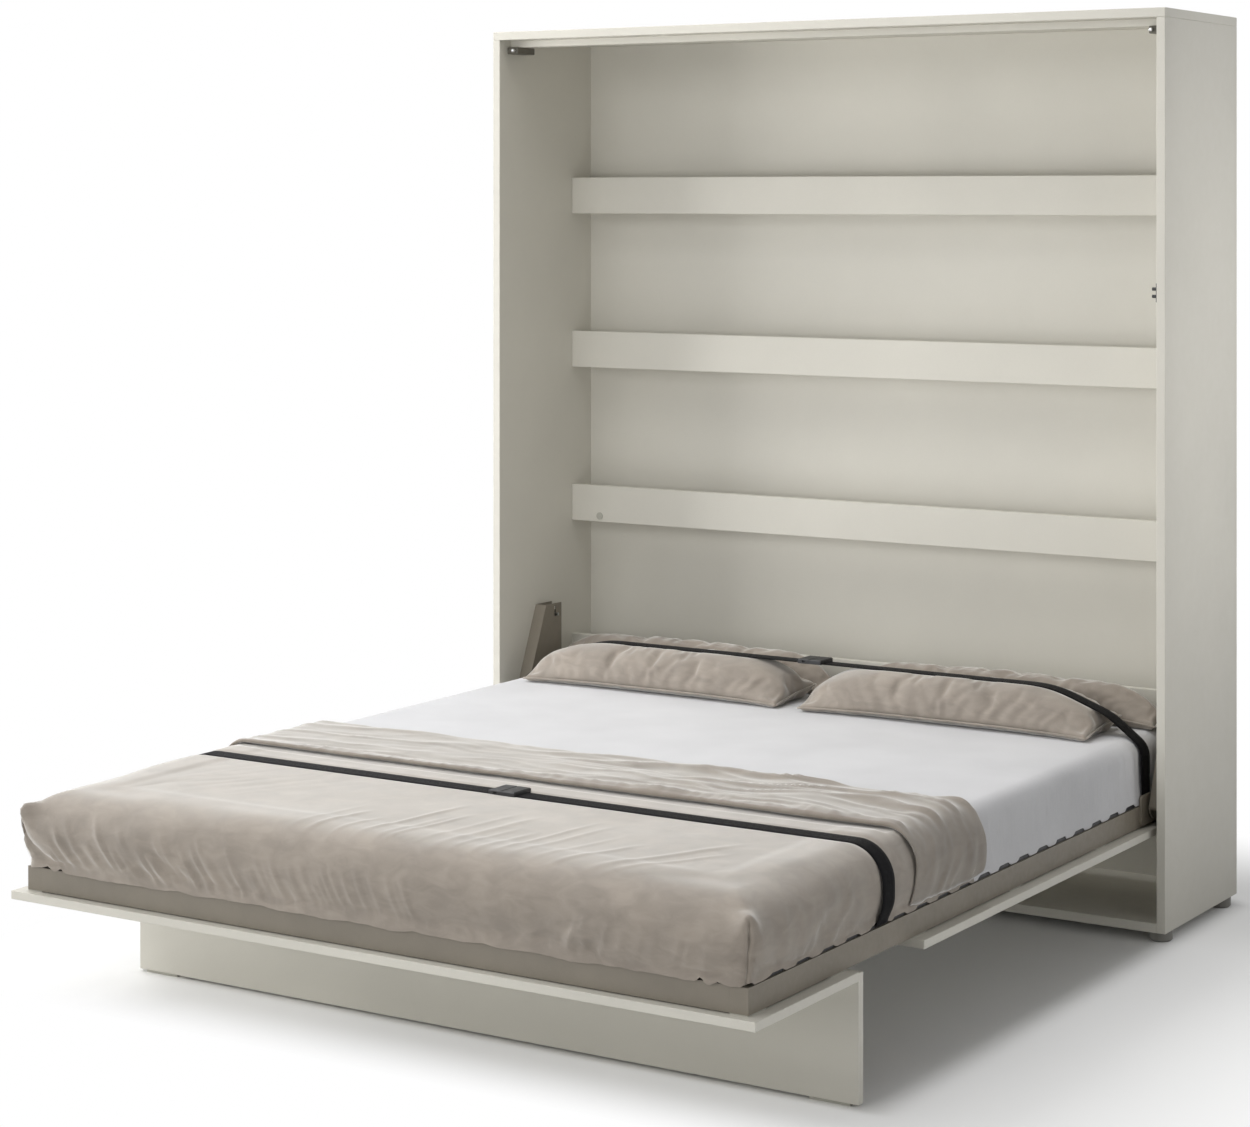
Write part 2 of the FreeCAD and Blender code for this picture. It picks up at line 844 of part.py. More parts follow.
def leg_pocket():
    """Recess for a clevis, open at the leg's upper edge and at its rear face."""
    half = clevis_half() + clevis_side_room
    return block(
        leg_hinge_place - half, leg_hinge_place + half,
        leg_axis_y - leg_lobe - clevis_fit, leg_axis_y + front_thickness,
        leg_axis_z - clevis_depth, leg_axis_z + leg_head + overrun,
    )


def leg_glide():
    x1 = front_half - leg_side_trim - leg_glide_inset
    half = leg_glide_width / 2
    return block(
        x1 - leg_glide_length, x1, leg_axis_y - half, leg_axis_y + half, 0, leg_glide_height,
    )


def make_leg():
    half = front_half - leg_side_trim
    leg = panel(
        -half, half, leg_axis_y - front_thickness / 2, leg_axis_y + front_thickness / 2,
        leg_glide_height, leg_axis_z + leg_head,
    )
    save("leg_panel", leg.cut([leg_pocket(), mirrored(leg_pocket())]))
    pin_half = clevis_half() + leg_pin_overhang
    pin = rod_x(
        leg_pin_radius, leg_hinge_place - pin_half, leg_hinge_place + pin_half,
        leg_axis_y, leg_axis_z,
    )
    for node, piece in (
        ("leg_hinge_brackets", leg_bracket()),
        ("leg_hinge_clevises", leg_clevis()),
        ("leg_hinge_pins", pin),
        ("leg_glides", leg_glide()),
    ):
        save(node, group([piece, mirrored(piece)]))


def soft_block(half, y0, y1, z0, z1, radius):
    """Block with rounded upright and upper edges."""
    shape = block(-half, half, y0, y1, z0, z1)
    rounded = [edge for edge in shape.Edges if edge.BoundBox.ZMax > z1 - radius]
    return shape.makeFillet(radius, rounded)


def quilt_edge(place, tuck, bulge, crest):
    """Outline of a quilt over one edge of the mattress: tucked in below, full, then rounded to its top."""
    full_height = crest - duvet_shoulder
    rise = full_height - mattress_bottom
    swell = bulge - tuck
    radius = (swell ** 2 + rise ** 2) / (2 * swell)
    half_rise = rise / 2
    slack = radius - math.sqrt(radius ** 2 - half_rise ** 2)
    lean = duvet_shoulder * math.cos(math.pi / 4)
    low = place(tuck, mattress_bottom)
    middle = place(bulge - slack, full_height - half_rise)
    full = place(bulge, full_height)
    shoulder = place(bulge - duvet_shoulder + lean, full_height + lean)
    top = place(bulge - duvet_shoulder, crest)
    return [Part.Arc(low, middle, full).toShape(), Part.Arc(full, shoulder, top).toShape()]


def closed_face(edges, *chains):
    """Face within the edges and the straight lines through each chain of points."""
    lines = []
    for points in chains:
        lines += [Part.LineSegment(a, b).toShape() for a, b in zip(points, points[1:])]
    return Part.Face(Part.Wire(Part.__sortEdges__(edges + lines)))


def quilt_across(y0, y1, tuck, bulge, crest):
    """Quilt from side to side over the mattress, solid down to its lower edge."""
    def right(out, height):
        return vector(quilt_inner_side + out, y0, height)

    def left(out, height):
        return vector(-quilt_inner_side - out, y0, height)

    sides = quilt_edge(right, tuck, bulge, crest) + quilt_edge(left, tuck, bulge, crest)
    top = [right(bulge - duvet_shoulder, crest), left(bulge - duvet_shoulder, crest)]
    bottom = [right(tuck, mattress_bottom), left(tuck, mattress_bottom)]
    return closed_face(sides, top, bottom).extrude(vector(0, y1 - y0, 0))


def quilt_along(foot, y1, tuck, bulge, crest):
    """Quilt from its foot end towards the head, as wide as needed to trim the one across."""
    reach = quilt_inner_side + bulge + overrun

    def end(out, height):
        return vector(-reach, foot - out, height)

    corners = [
        end(bulge - duvet_shoulder, crest), vector(-reach, y1, crest),
        vector(-reach, y1, mattress_bottom), end(tuck, mattress_bottom),
    ]
    face = closed_face(quilt_edge(end, tuck, bulge, crest), corners)
    return face.extrude(vector(2 * reach, 0, 0))


def duvet():
    """Quilt over the foot part of the mattress, with its upper edge folded back."""
    inner_foot = mattress_foot - soft_gap
    edge = mattress_foot + duvet_length
    fold_start = edge - duvet_fold_depth
    inside = soft_block(
        quilt_inner_side, inner_foot, mattress_head,
        mattress_bottom - overrun, quilt_inner_top, mattress_edge,
    )
    across = quilt_across(inner_foot - duvet_bulge - overrun, edge, duvet_tuck, duvet_bulge, duvet_surface)
    along = quilt_along(inner_foot, edge, duvet_tuck, duvet_bulge, duvet_surface)
    fold = quilt_across(
        fold_start, edge, duvet_tuck + duvet_fold_side, duvet_bulge + duvet_fold_side,
        duvet_surface + duvet_fold_top,
    )
    rolled = [
        line for line in fold.Edges
        if line.BoundBox.YLength < overrun and line.BoundBox.ZMax > mattress_bottom + overrun
    ]
    fold = fold.makeFillet(duvet_fold_roll, rolled)
    return across.common(along).fuse(fold).cut(inside).removeSplitter()


def pillow_section(x, front, rear, crown, belly):
    """Closed section of a pillow: an upper arc, a lower arc and the seam at each end."""
    middle = (front + rear) * 0.5
    chord = rear - front
    normal = vector(0, -chord.z, chord.y).normalize()
    seam = normal * (pillow_seam / 2)
    place = vector(x, 0, 0)
    upper_front = place + front + seam
    upper_rear = place + rear + seam
    lower_front = place + front - seam
    lower_rear = place + rear - seam
    top = place + middle + normal * crown
    bottom = place + middle - normal * belly
    return Part.Wire([
        Part.Arc(upper_front, top, upper_rear).toShape(),
        Part.LineSegment(upper_rear, lower_rear).toShape(),
        Part.Arc(lower_rear, bottom, lower_front).toShape(),
        Part.LineSegment(lower_front, upper_front).toShape(),
    ])


def pillow(middle_gap, side_gap, front, rear, crown, belly):
    """Cushion across the mattress, full in the middle, its long sides drawn in between the corners."""
    sections = []
    width = mattress_width / 2 - middle_gap - side_gap
    place = -middle_gap - width / 2
    along = (rear - front).normalize()
    for station, fullness in zip(pillow_station_shares, pillow_fullness_shares):
        draw = along * (pillow_draw * (1 - station ** 2))
        droop = vector(0, 0, -pillow_droop * station ** 2)
        half_seam = pillow_seam / 2
        sections.append(pillow_section(
            place + station * width / 2, front + draw + droop, rear - draw + droop,
            half_seam + (crown - half_seam) * fullness, half_seam + (belly - half_seam) * fullness,
        ))
    shape = Part.makeLoft(sections, True)
    lowest = shape.optimalBoundingBox().ZMin
    shape.translate(vector(0, 0, mattress_top + soft_gap - lowest))
    return shape


def front_pillow():
    """Left front pillow, leaning on the one behind it."""
    rear = mattress_head - front_pillow_head_gap
    return pillow(
        front_pillow_middle_gap, front_pillow_side_gap,
        vector(0, rear - front_pillow_depth, front_pillow_seam_rise),
        vector(0, rear, front_pillow_back_rise),
        front_pillow_crown, front_pillow_belly,
    )


def back_pillow():
    """Left back pillow, flat on the mattress at its head end."""
    front = mattress_head - front_pillow_head_gap + back_pillow_gap
    return pillow(
        back_pillow_middle_gap, back_pillow_side_gap,
        vector(0, front, 0), vector(0, mattress_head - back_pillow_head_gap, 0),
        back_pillow_crown, back_pillow_belly,
    )


def make_bedding():
    save("mattress", soft_block(
        mattress_width / 2, mattress_foot, mattress_head,
        mattress_bottom, mattress_top, mattress_edge,
    ))
    save("duvet", duvet())
    save("left_front_pillow", front_pillow())
    save("right_front_pillow", mirrored(front_pillow()))
    save("left_back_pillow", back_pillow())
    save("right_back_pillow", mirrored(back_pillow()))


def rounded_path(points, radii):
    """Lines through points in the XZ plane, joined by tangent arcs at the inner points."""
    edges = []
    start = points[0]
    for index, radius in enumerate(radii):
        before, corner, after = points[index:index + 3]
        towards = (corner - before).normalize()
        away = (after - corner).normalize()
        turn = towards.getAngle(away)
        reach = radius * math.tan(turn / 2)
        entry = corner - towards * reach
        leave = corner + away * reach
        bisector = (away - towards).normalize()
        middle = corner + bisector * (radius / math.cos(turn / 2) - radius)
        edges.append(Part.LineSegment(start, entry).toShape())
        edges.append(Part.Arc(entry, middle, leave).toShape())
        start = leave
    edges.append(Part.LineSegment(start, points[-1]).toShape())
    return edges


def shifted_path(points, distance):
    """The same lines moved outwards by a distance, each still parallel to itself."""
    normals = []
    for before, after in zip(points, points[1:]):
        along = (after - before).normalize()
        normals.append(vector(along.z, 0, -along.x))
    moved = [points[0] + normals[0] * distance]
    for point, first, second in zip(points[1:-1], normals, normals[1:]):
        moved.append(point + (first + second) * (distance / (1 + first.dot(second))))
    moved.append(points[-1] + normals[-1] * distance)
    return moved


def outer_bends(points, bends, distance):
    """Bends of the path moved outwards: wider where it turns in over the bed, tighter where it turns out."""
    moved = []
    for index, bend in enumerate(bends):
        before, corner, after = points[index:index + 3]
        turn = (corner - before).cross(after - corner).y
        moved.append(bend + math.copysign(distance, -turn))
    return moved


def strap(points, bends, place):
    """Webbing from rail to rail, in two lengths that end inside the buckle."""
    lower = rounded_path(points, bends)
    upper_points = shifted_path(points, strap_thickness)
    upper = rounded_path(upper_points, outer_bends(points, bends, strap_thickness))
    foot = Part.LineSegment(points[0], upper_points[0]).toShape()
    end = Part.LineSegment(points[-1], upper_points[-1]).toShape()
    face = Part.Face(Part.Wire(Part.__sortEdges__(lower + upper + [foot, end])))
    face.translate(vector(0, place - strap_width / 2, 0))
    length = face.extrude(vector(0, strap_width, 0))
    return group([mirrored(length), length])


def buckle_socket(place, low):
    """Socket half of a side-release buckle, to the left of the middle."""
    half_width = buckle_width / 2
    shape = block(
        -buckle_length / 2, 0, place - half_width, place + half_width, low, low + buckle_height,
    )
    upper = [edge for edge in shape.Edges if edge.BoundBox.ZMin > low + buckle_height / 2]
    shape = shape.makeChamfer(buckle_chamfer, upper)
    mouth_half = half_width - buckle_wall
    mouth = block(
        -prong_length - buckle_fit, overrun, place - mouth_half, place + mouth_half,
        low + buckle_wall, low + buckle_height - buckle_wall,
    )
    window_half = prong_length / 2
    windows = block(
        -prong_length, -prong_length + window_half, place - half_width - overrun,
        place + half_width + overrun, low + buckle_wall, low + buckle_height - buckle_wall,
    )
    return shape.cut([mouth, windows, strap_notch(-buckle_length / 2, place, low)])


def buckle_tongue(place, low):
    """Tongue half of the buckle, with a middle bar and two side prongs in the socket."""
    half_width = buckle_width / 2
    shape = block(
        buckle_fit, buckle_length / 2, place - half_width, place + half_width,
        low, low + buckle_height,
    )
    upper = [edge for edge in shape.Edges if edge.BoundBox.ZMin > low + buckle_height / 2]
    shape = shape.makeChamfer(buckle_chamfer, upper)
    prong_low = low + buckle_wall + buckle_fit
    prong_high = low + buckle_height - buckle_wall - buckle_fit
    outer = half_width - buckle_wall - buckle_fit
    prongs = []
    for middle in (-outer + prong_width / 2, 0, outer - prong_width / 2):
        prongs.append(block(
            -prong_length, buckle_fit, place + middle - prong_width / 2,
            place + middle + prong_width / 2, prong_low, prong_high,
        ))
    notch = strap_notch(buckle_length / 2 - buckle_slot_depth, place, low)
    return shape.fuse(prongs).cut(notch).removeSplitter()


def strap_notch(start, place, low):
    """Notch under a buckle half, where the webbing runs in."""
    half = strap_width / 2 + buckle_fit
    return block(
        start - overrun, start + buckle_slot_depth + overrun, place - half, place + half,
        low - overrun, low + strap_thickness + buckle_fit,
    )


def make_straps():
    half = quilt_inner_side + duvet_tuck + strap_gap
    full_half = quilt_inner_side + duvet_bulge + strap_gap
    inner_end = buckle_length / 2 - buckle_slot_depth
    pillow_end = mattress_width / 2 - front_pillow_side_gap
    head_place = mattress_head - head_strap_setback
    foot_place = mattress_foot + foot_strap_setback
    head_crest = front_pillow().optimalBoundingBox().ZMax + strap_gap
    head_points = [
        vector(half, 0, frame_top),
        vector(half, 0, mattress_top - head_strap_turn_drop),
        vector(pillow_end + head_strap_hip_gap, 0, mattress_top + head_strap_hip_rise),
        vector(pillow_end - head_strap_shoulder_inset, 0, head_crest),
        vector(inner_end, 0, head_crest),
    ]
    save("head_strap", strap(head_points, head_strap_bends, head_place))
    foot_crest = duvet_surface + strap_gap
    foot_points = [
        vector(half, 0, frame_top),
        vector(half, 0, frame_top + foot_strap_start_rise),
        vector(full_half, 0, frame_top + foot_strap_turn_rise),
        vector(full_half, 0, foot_crest),
        vector(inner_end, 0, foot_crest),
    ]
    save("foot_strap", strap(foot_points, [*foot_strap_bends, duvet_shoulder], foot_place))
    for name, place, low in (("head", head_place, head_crest), ("foot", foot_place, foot_crest)):
        save(name + "_buckle_socket", buckle_socket(place, low))
        save(name + "_buckle_tongue", buckle_tongue(place, low))


os.makedirs("parts", exist_ok=True)
make_cabinet()
make_mechanism()
make_catches()
make_frame()
make_fronts()
make_leg()
make_bedding()
make_straps()
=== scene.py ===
import json
import math

import bmesh
import bpy
import numpy as np
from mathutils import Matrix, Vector, noise
from mathutils.bvhtree import BVHTree


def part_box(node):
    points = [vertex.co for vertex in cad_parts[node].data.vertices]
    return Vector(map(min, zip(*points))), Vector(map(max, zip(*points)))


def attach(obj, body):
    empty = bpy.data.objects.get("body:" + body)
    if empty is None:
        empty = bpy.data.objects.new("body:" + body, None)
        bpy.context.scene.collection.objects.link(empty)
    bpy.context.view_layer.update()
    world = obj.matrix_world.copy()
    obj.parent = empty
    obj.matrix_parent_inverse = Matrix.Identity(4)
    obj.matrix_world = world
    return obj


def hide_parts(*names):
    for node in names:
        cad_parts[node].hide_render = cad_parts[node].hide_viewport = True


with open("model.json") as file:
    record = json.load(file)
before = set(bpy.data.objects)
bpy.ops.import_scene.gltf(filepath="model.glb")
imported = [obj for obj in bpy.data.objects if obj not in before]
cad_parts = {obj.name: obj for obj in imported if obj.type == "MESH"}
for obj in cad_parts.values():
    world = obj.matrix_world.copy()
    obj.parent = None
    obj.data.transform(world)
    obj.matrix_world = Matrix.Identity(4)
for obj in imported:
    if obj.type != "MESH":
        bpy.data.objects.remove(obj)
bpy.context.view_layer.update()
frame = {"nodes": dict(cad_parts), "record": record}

nodes = frame["nodes"]
scene = bpy.context.scene
MM = 0.001


# Materials

def linear(rgb):
    """sRGB values from 0 to 255, as a linear colour."""
    shares = [value / 255.0 for value in rgb]
    return (*(v / 12.92 if v <= 0.04045 else ((v + 0.055) / 1.055) ** 2.4 for v in shares), 1.0)


def shaded(rgb, factor):
    """The sRGB colour made darker or lighter, as a linear colour."""
    return linear([min(255, value * factor) for value in rgb])


class Shader:
    """A material with one principled shader, and short calls for the nodes that feed it."""

    def __init__(self, name, **sockets):
        self.material = bpy.data.materials.new(name)
        self.material.use_nodes = True
        self.tree = self.material.node_tree
        self.tree.nodes.clear()
        self.shader = self.tree.nodes.new("ShaderNodeBsdfPrincipled")
        out = self.tree.nodes.new("ShaderNodeOutputMaterial")
        self.tree.links.new(self.shader.outputs[0], out.inputs[0])
        self.coords = self.tree.nodes.new("ShaderNodeTexCoord")
        for key, value in sockets.items():
            self.shader.inputs[key.replace("_", " ")].default_value = value

    def add(self, kind, inputs, **settings):
        """A new node with its inputs linked or set. Returns its first output."""
        made = self.tree.nodes.new(kind)
        for key, value in settings.items():
            setattr(made, key, value)
        for key, value in inputs.items():
            if isinstance(value, bpy.types.NodeSocket):
                self.tree.links.new(value, made.inputs[key])
            else:
                made.inputs[key].default_value = value
        return made.outputs[0]

    def place(self, stretch):
        return self.add("ShaderNodeMapping", {"Vector": self.coords.outputs["Object"], "Scale": stretch})

    def noise(self, scale, detail=3.0, stretch=(1, 1, 1), distortion=0.0):
        return self.add("ShaderNodeTexNoise", {
            "Vector": self.place(stretch), "Scale": scale, "Detail": detail, "Distortion": distortion})

    def threads(self, scale, direction):
        made = self.add("ShaderNodeTexWave", {
            "Vector": self.place((1, 1, 1)), "Scale": scale, "Distortion": 0.6, "Detail": 1.0},
            bands_direction=direction)
        return made.node.outputs["Fac"]

    def weave(self, *threads):
        """Threads along several axes, each given as (direction, scale, share)."""
        return self.blend(*((self.threads(scale, way), share) for way, scale, share in threads))

    def blend(self, *pairs):
        """Sum of values, each times its share."""
        total = None
        for value, share in pairs:
            part = self.add("ShaderNodeMath", {0: value, 1: share}, operation="MULTIPLY")
            total = part if total is None else self.add("ShaderNodeMath", {0: total, 1: part})
        return total

    def colour(self, value, *stops):
        """Base colour from a ramp of (position, colour) stops."""
        ramp = self.add("ShaderNodeValToRGB", {"Fac": value}).node
        elements = ramp.color_ramp.elements
        while len(elements) < len(stops):
            elements.new(0.5)
        for element, (at, colour) in zip(elements, stops):
            element.position = at
            element.color = colour
        self.tree.links.new(ramp.outputs[0], self.shader.inputs["Base Color"])

    def tint(self, value, rgb, change):
        """Base colour that wavers about one colour by a small share."""
        self.colour(value, (0.3, shaded(rgb, 1 - change)), (0.7, shaded(rgb, 1 + change)))

    def rough(self, value, low, high):
        spread = self.add("ShaderNodeMapRange", {
            0: value, "From Min": 0.3, "From Max": 0.7, "To Min": low, "To Max": high})
        self.tree.links.new(spread, self.shader.inputs["Roughness"])

    def bump(self, height, strength, distance, edge=0.0):
        """Fine relief, and edges that look rounded by the radius given."""
        inputs = {"Height": height, "Strength": strength, "Distance": distance}
        if edge:
            inputs["Normal"] = self.add("ShaderNodeBevel", {"Radius": edge}, samples=4)
        self.tree.links.new(self.add("ShaderNodeBump", inputs), self.shader.inputs["Normal"])


def board(name, rgb, low, high):
    """Satin melamine or lacquer: almost even, with a very fine orange peel and eased edges."""
    look = Shader(name, IOR=1.46)
    look.tint(look.blend((look.noise(3.0, 4.0), 0.7), (look.noise(420.0, 2.0), 0.3)), rgb, 0.018)
    look.rough(look.noise(45.0), low, high)
    look.bump(look.noise(1400.0, 2.0), strength=0.05, distance=0.4 * MM, edge=1.2 * MM)
    return look.material


def coat(name, rgb, low, high, grain):
    """Powder coat or moulded plastic, with a fine even grain."""
    look = Shader(name, IOR=1.5)
    look.tint(look.blend((look.noise(9.0), 0.6), (look.noise(800.0, 2.0), 0.4)), rgb, 0.05)
    look.rough(look.noise(70.0, 2.0), low, high)
    look.bump(look.noise(1600.0, 2.0), strength=grain, distance=0.4 * MM, edge=1.0 * MM)
    return look.material


def bare_metal(name, rgb, low, high, stretch):
    """Plated or polished steel, drawn along one direction."""
    look = Shader(name, Metallic=1.0)
    grain = look.noise(260.0, 3.0, stretch)
    look.tint(look.blend((grain, 0.6), (look.noise(18.0), 0.4)), rgb, 0.1)
    look.rough(grain, low, high)
    look.bump(grain, strength=0.05, distance=0.3 * MM)
    return look.material


def beech_veneer():
    """Clear-coated bent slats, with the grain along the slat."""
    look = Shader("beech_slats", IOR=1.5)
    rings = look.noise(26.0, 5.0, (0.25, 3.0, 3.0), 0.6)
    flecks = look.noise(380.0, 2.0, (0.15, 1.0, 1.0))
    grain = look.blend((rings, 0.7), (flecks, 0.3))
    look.colour(grain, (0.32, linear((178, 140, 98))), (0.68, linear((212, 178, 136))))
    look.rough(flecks, 0.42, 0.58)
    look.bump(flecks, strength=0.1, distance=0.4 * MM)
    return look.material


def velvet(name, shade):
    """Short pile stroked both ways: soft darker and lighter clouds, pale at a low angle."""
    look = Shader(name, Sheen_Weight=0.96, Sheen_Roughness=0.42, Sheen_Tint=linear((252, 252, 250)), IOR=1.3)
    rgb = (148, 139, 129)
    clouds = look.noise(8.0, 4.0, distortion=0.5)
    strokes = look.noise(24.0, 5.0, (0.7, 0.8, 1.5), 0.9)
    pile = look.noise(620.0, 2.0)
    tone = look.blend((clouds, 0.36), (strokes, 0.5), (pile, 0.14))
    deep, middle, pale = (shaded(rgb, shade * change) for change in (0.93, 1.0, 1.07))
    look.colour(tone, (0.37, deep), (0.5, middle), (0.63, pale))
    look.rough(strokes, 0.8, 0.95)
    look.bump(look.blend((pile, 0.6), (strokes, 0.4)), strength=0.2, distance=1.2 * MM)
    return look.material


def cotton():
    """Plain white weave."""
    look = Shader("white_cotton", Sheen_Weight=0.08, Sheen_Roughness=0.5, IOR=1.4)
    weave = look.weave(("X", 520.0, 0.34), ("Y", 520.0, 0.33), ("Z", 520.0, 0.33))
    tone = look.blend((look.noise(5.0), 0.7), (look.noise(300.0), 0.3))
    look.colour(tone, (0.3, linear((196, 196, 198))), (0.7, linear((208, 208, 210))))
    look.rough(look.noise(40.0), 0.75, 0.9)
    look.bump(weave, strength=0.1, distance=0.4 * MM)
    return look.material


def webbing():
    """Near-black ribbed webbing that turns grey at a low angle."""
    look = Shader("dark_webbing", Sheen_Weight=0.09, Sheen_Roughness=0.35, Sheen_Tint=linear((190, 190, 190)),
                  IOR=1.35, Specular_IOR_Level=0.12)
    ribs = look.weave(("X", 300.0, 0.35), ("Y", 170.0, 0.35), ("Z", 300.0, 0.3))
    tone = look.blend((ribs, 0.5), (look.noise(60.0), 0.5))
    look.colour(tone, (0.25, linear((6, 6, 7))), (0.75, linear((18, 17, 19))))
    look.rough(look.noise(120.0), 0.62, 0.78)
    look.bump(ribs, strength=0.3, distance=0.8 * MM)
    return look.material


materials = {
    "carcass_board": board("carcass_melamine", (204, 201, 191), 0.40, 0.52),
    "front_board": board("front_lacquer", (206, 203, 193), 0.30, 0.42),
    "frame_paint": coat("taupe_powder_coat", (124, 117, 105), 0.42, 0.56, 0.16),
    "bright_steel": bare_metal("zinc_plated_steel", (176, 177, 176), 0.26, 0.42, (1, 4, 4)),
    "dark_steel": coat("black_gas_tube", (34, 34, 36), 0.25, 0.38, 0.06),
    "rod_chrome": bare_metal("polished_rod", (205, 206, 208), 0.08, 0.16, (1, 1, 4)),
    "plastic_dark": coat("dark_plastic", (32, 32, 34), 0.42, 0.58, 0.2),
    "plastic_grey": coat("grey_plastic", (124, 122, 117), 0.45, 0.60, 0.2),
    "plastic_taupe": coat("taupe_plastic", (124, 117, 105), 0.48, 0.60, 0.2),
    "plastic_pale": coat("pale_plastic", (170, 168, 158), 0.40, 0.55, 0.2),
    "beech": beech_veneer(),
    "mattress_fabric": cotton(),
    "bedding_fabric": velvet("beige_velvet", 1.0),
    "webbing": webbing(),
}
# Painted shade: a copy of the same velvet made 7% darker, for the folded-back edge of the duvet
shaded_fold_velvet = velvet("beige_velvet_painted_shade", 0.93)
catch_plastic = coat("catch_plastic", (96, 93, 84), 0.45, 0.60, 0.2)
for sub in frame["record"]["subparts"]:
    mesh = nodes[sub["node"]].data
    mesh.materials.clear()
    mesh.materials.append(materials[sub["material_slot"]])
for node in ("left_push_catch", "right_push_catch"):
    nodes[node].data.materials[0] = catch_plastic


# Mesh helpers

def new_piece(name, verts, faces, slot):
    """Smooth mesh object with outward normals and the material named by its slot."""
    mesh = bpy.data.meshes.new(name)
    mesh.from_pydata([tuple(v) for v in verts], [], faces)
    bm = bmesh.new()
    bm.from_mesh(mesh)
    bmesh.ops.recalc_face_normals(bm, faces=bm.faces)
    bm.to_mesh(mesh)
    bm.free()
    mesh.polygons.foreach_set("use_smooth", [True] * len(mesh.polygons))
    mesh.materials.append(materials[slot])
    obj = bpy.data.objects.new(name, mesh)
    scene.collection.objects.link(obj)
    return obj


def points_of(obj):
    flat = np.zeros(len(obj.data.vertices) * 3)
    obj.data.vertices.foreach_get("co", flat)
    return flat.reshape(-1, 3)


def normals_of(obj):
    flat = np.zeros(len(obj.data.vertices) * 3, np.float32)
    obj.data.vertex_normals.foreach_get("vector", flat)
    return flat.reshape(-1, 3).astype(float)


def set_points(obj, points):
    obj.data.vertices.foreach_set("co", np.asarray(points, np.float32).ravel())
    obj.data.update()


def smoothed(obj, points, share, rounds):
    """The points drawn to the middle of their neighbours, by a share at each point."""
    ends = np.zeros(len(obj.data.edges) * 2, np.int32)
    obj.data.edges.foreach_get("vertices", ends)
    first, second = ends[0::2], ends[1::2]
    count = np.bincount(ends, minlength=len(points))[:, None]
    for _ in range(rounds):
        total = np.zeros_like(points)
        np.add.at(total, first, points[second])
        np.add.at(total, second, points[first])
        points = points + share[:, None] * (total / count - points)
    return points


def ease(value, start, end):
    """0 before start, 1 after end, smooth between."""
    share = np.clip((value - start) / (end - start), 0, 1)
    return share * share * (3 - 2 * share)


def hump(distance, width):
    """1 at no distance, falling away smoothly over about the width to both sides."""
    return np.exp(-(distance / width) ** 2)


def soft_noise(points, per_metre, seed):
    """Smooth noise of about -1 to 1 at each point. Each seed reads another part of the noise."""
    seed_step = 17.3
    spread = points * np.asarray(per_metre) + seed * seed_step
    return np.array([noise.fractal(Vector(v), 1.0, 2.0, 3) for v in spread])


def creases(points, per_metre, seed, sharp=3.0):
    """Narrow crests from 0 to 1 between wide soft hollows."""
    seed_step = 11.7
    steepness = 2.4
    spread = points * np.asarray(per_metre) + seed * seed_step
    value = np.array([abs(noise.noise(Vector(v))) for v in spread])
    return np.clip(1 - steepness * value, 0, 1) ** sharp


def drawn_lines(across, along, lines):
    """Height of narrow crests. Each line is (place, slope, start, end, half width, height)."""
    total = np.zeros(len(across))
    for place, slope, start, end, wide, high in lines:
        fade = (end - start) * 0.3
        there = ease(along, start, start + fade) * (1 - ease(along, end - fade, end))
        total += high * there * hump(across - place - slope * along, wide)
    return total


def rings_to_faces(rings, count, closed):
    """Quads between rings of count points each, the rings themselves closed or open."""
    faces = []
    for ring in range(rings - 1):
        for i in range(count if closed else count - 1):
            k = (i + 1) % count
            faces.append([ring * count + i, ring * count + k, (ring + 1) * count + k, (ring + 1) * count + i])
    return faces


def drape(core_x, start_y, end_y, top, rows, steps, head, fan=8):
    """Soft cover over a box: a level top, then rows of (reach, height, squareness) down its sides.

    The top spans core_x to both sides of the middle. The cover hangs over the foot and both sides, and over
    the head too if asked. Returns its vertices, its faces and the vertices along its lower edge.
    """
    xs = np.linspace(-core_x, core_x, round(2 * core_x / steps[0]) + 1)
    ys = np.linspace(start_y, end_y, round((end_y - start_y) / steps[1]) + 1)
    across, along = len(xs), len(ys)
    verts = [(x, y, top) for y in ys for x in xs]
    faces = rings_to_faces(along, across, False)
    quarter = math.pi / 2
    crowding = 1.8

    def corner(vertex, turn):
        """Columns that fan out from one corner of the top, closest together along its diagonal."""
        half = [math.atan(1 - (1 - k / fan) ** crowding) for k in range(fan + 1)]
        both = half + [quarter - angle for angle in reversed(half[:-1])]
        return [(vertex, quarter * turn + angle) for angle in both]

    last = along - 1 if head else along
    columns = [(j * across, 2 * quarter) for j in range(last - 1, 0, -1)]
    columns += corner(0, 2)
    columns += [(i, 3 * quarter) for i in range(1, across - 1)]
    columns += corner(across - 1, 3)
    columns += [(j * across + across - 1, 4 * quarter) for j in range(1, last)]
    if head:
        columns += corner(along * across - 1, 4)
        columns += [((along - 1) * across + i, 5 * quarter) for i in range(across - 2, 0, -1)]
        columns += corner((along - 1) * across, 5)
    start = len(verts)
    for vertex, angle in columns:
        x, y, _ = verts[vertex]
        cosine, sine = math.cos(angle), math.sin(angle)
        for reach, height, square in rows:
            out = reach * (abs(cosine) ** square + abs(sine) ** square) ** (-1 / square)
            verts.append((x + cosine * out, y + sine * out, height))
    deep = len(rows)
    neighbours = list(zip(range(len(columns)), range(1, len(columns))))
    if head:
        neighbours.append((len(columns) - 1, 0))
    for a, b in neighbours:
        low_a, low_b = start + a * deep, start + b * deep
        upper = [columns[a][0]] if columns[a][0] == columns[b][0] else [columns[a][0], columns[b][0]]
        faces.append(upper + [low_b, low_a])
        for k in range(deep - 1):
            faces.append([low_a + k, low_b + k, low_b + k + 1, low_a + k + 1])
    return verts, faces, [start + a * deep + deep - 1 for a in range(len(columns))]


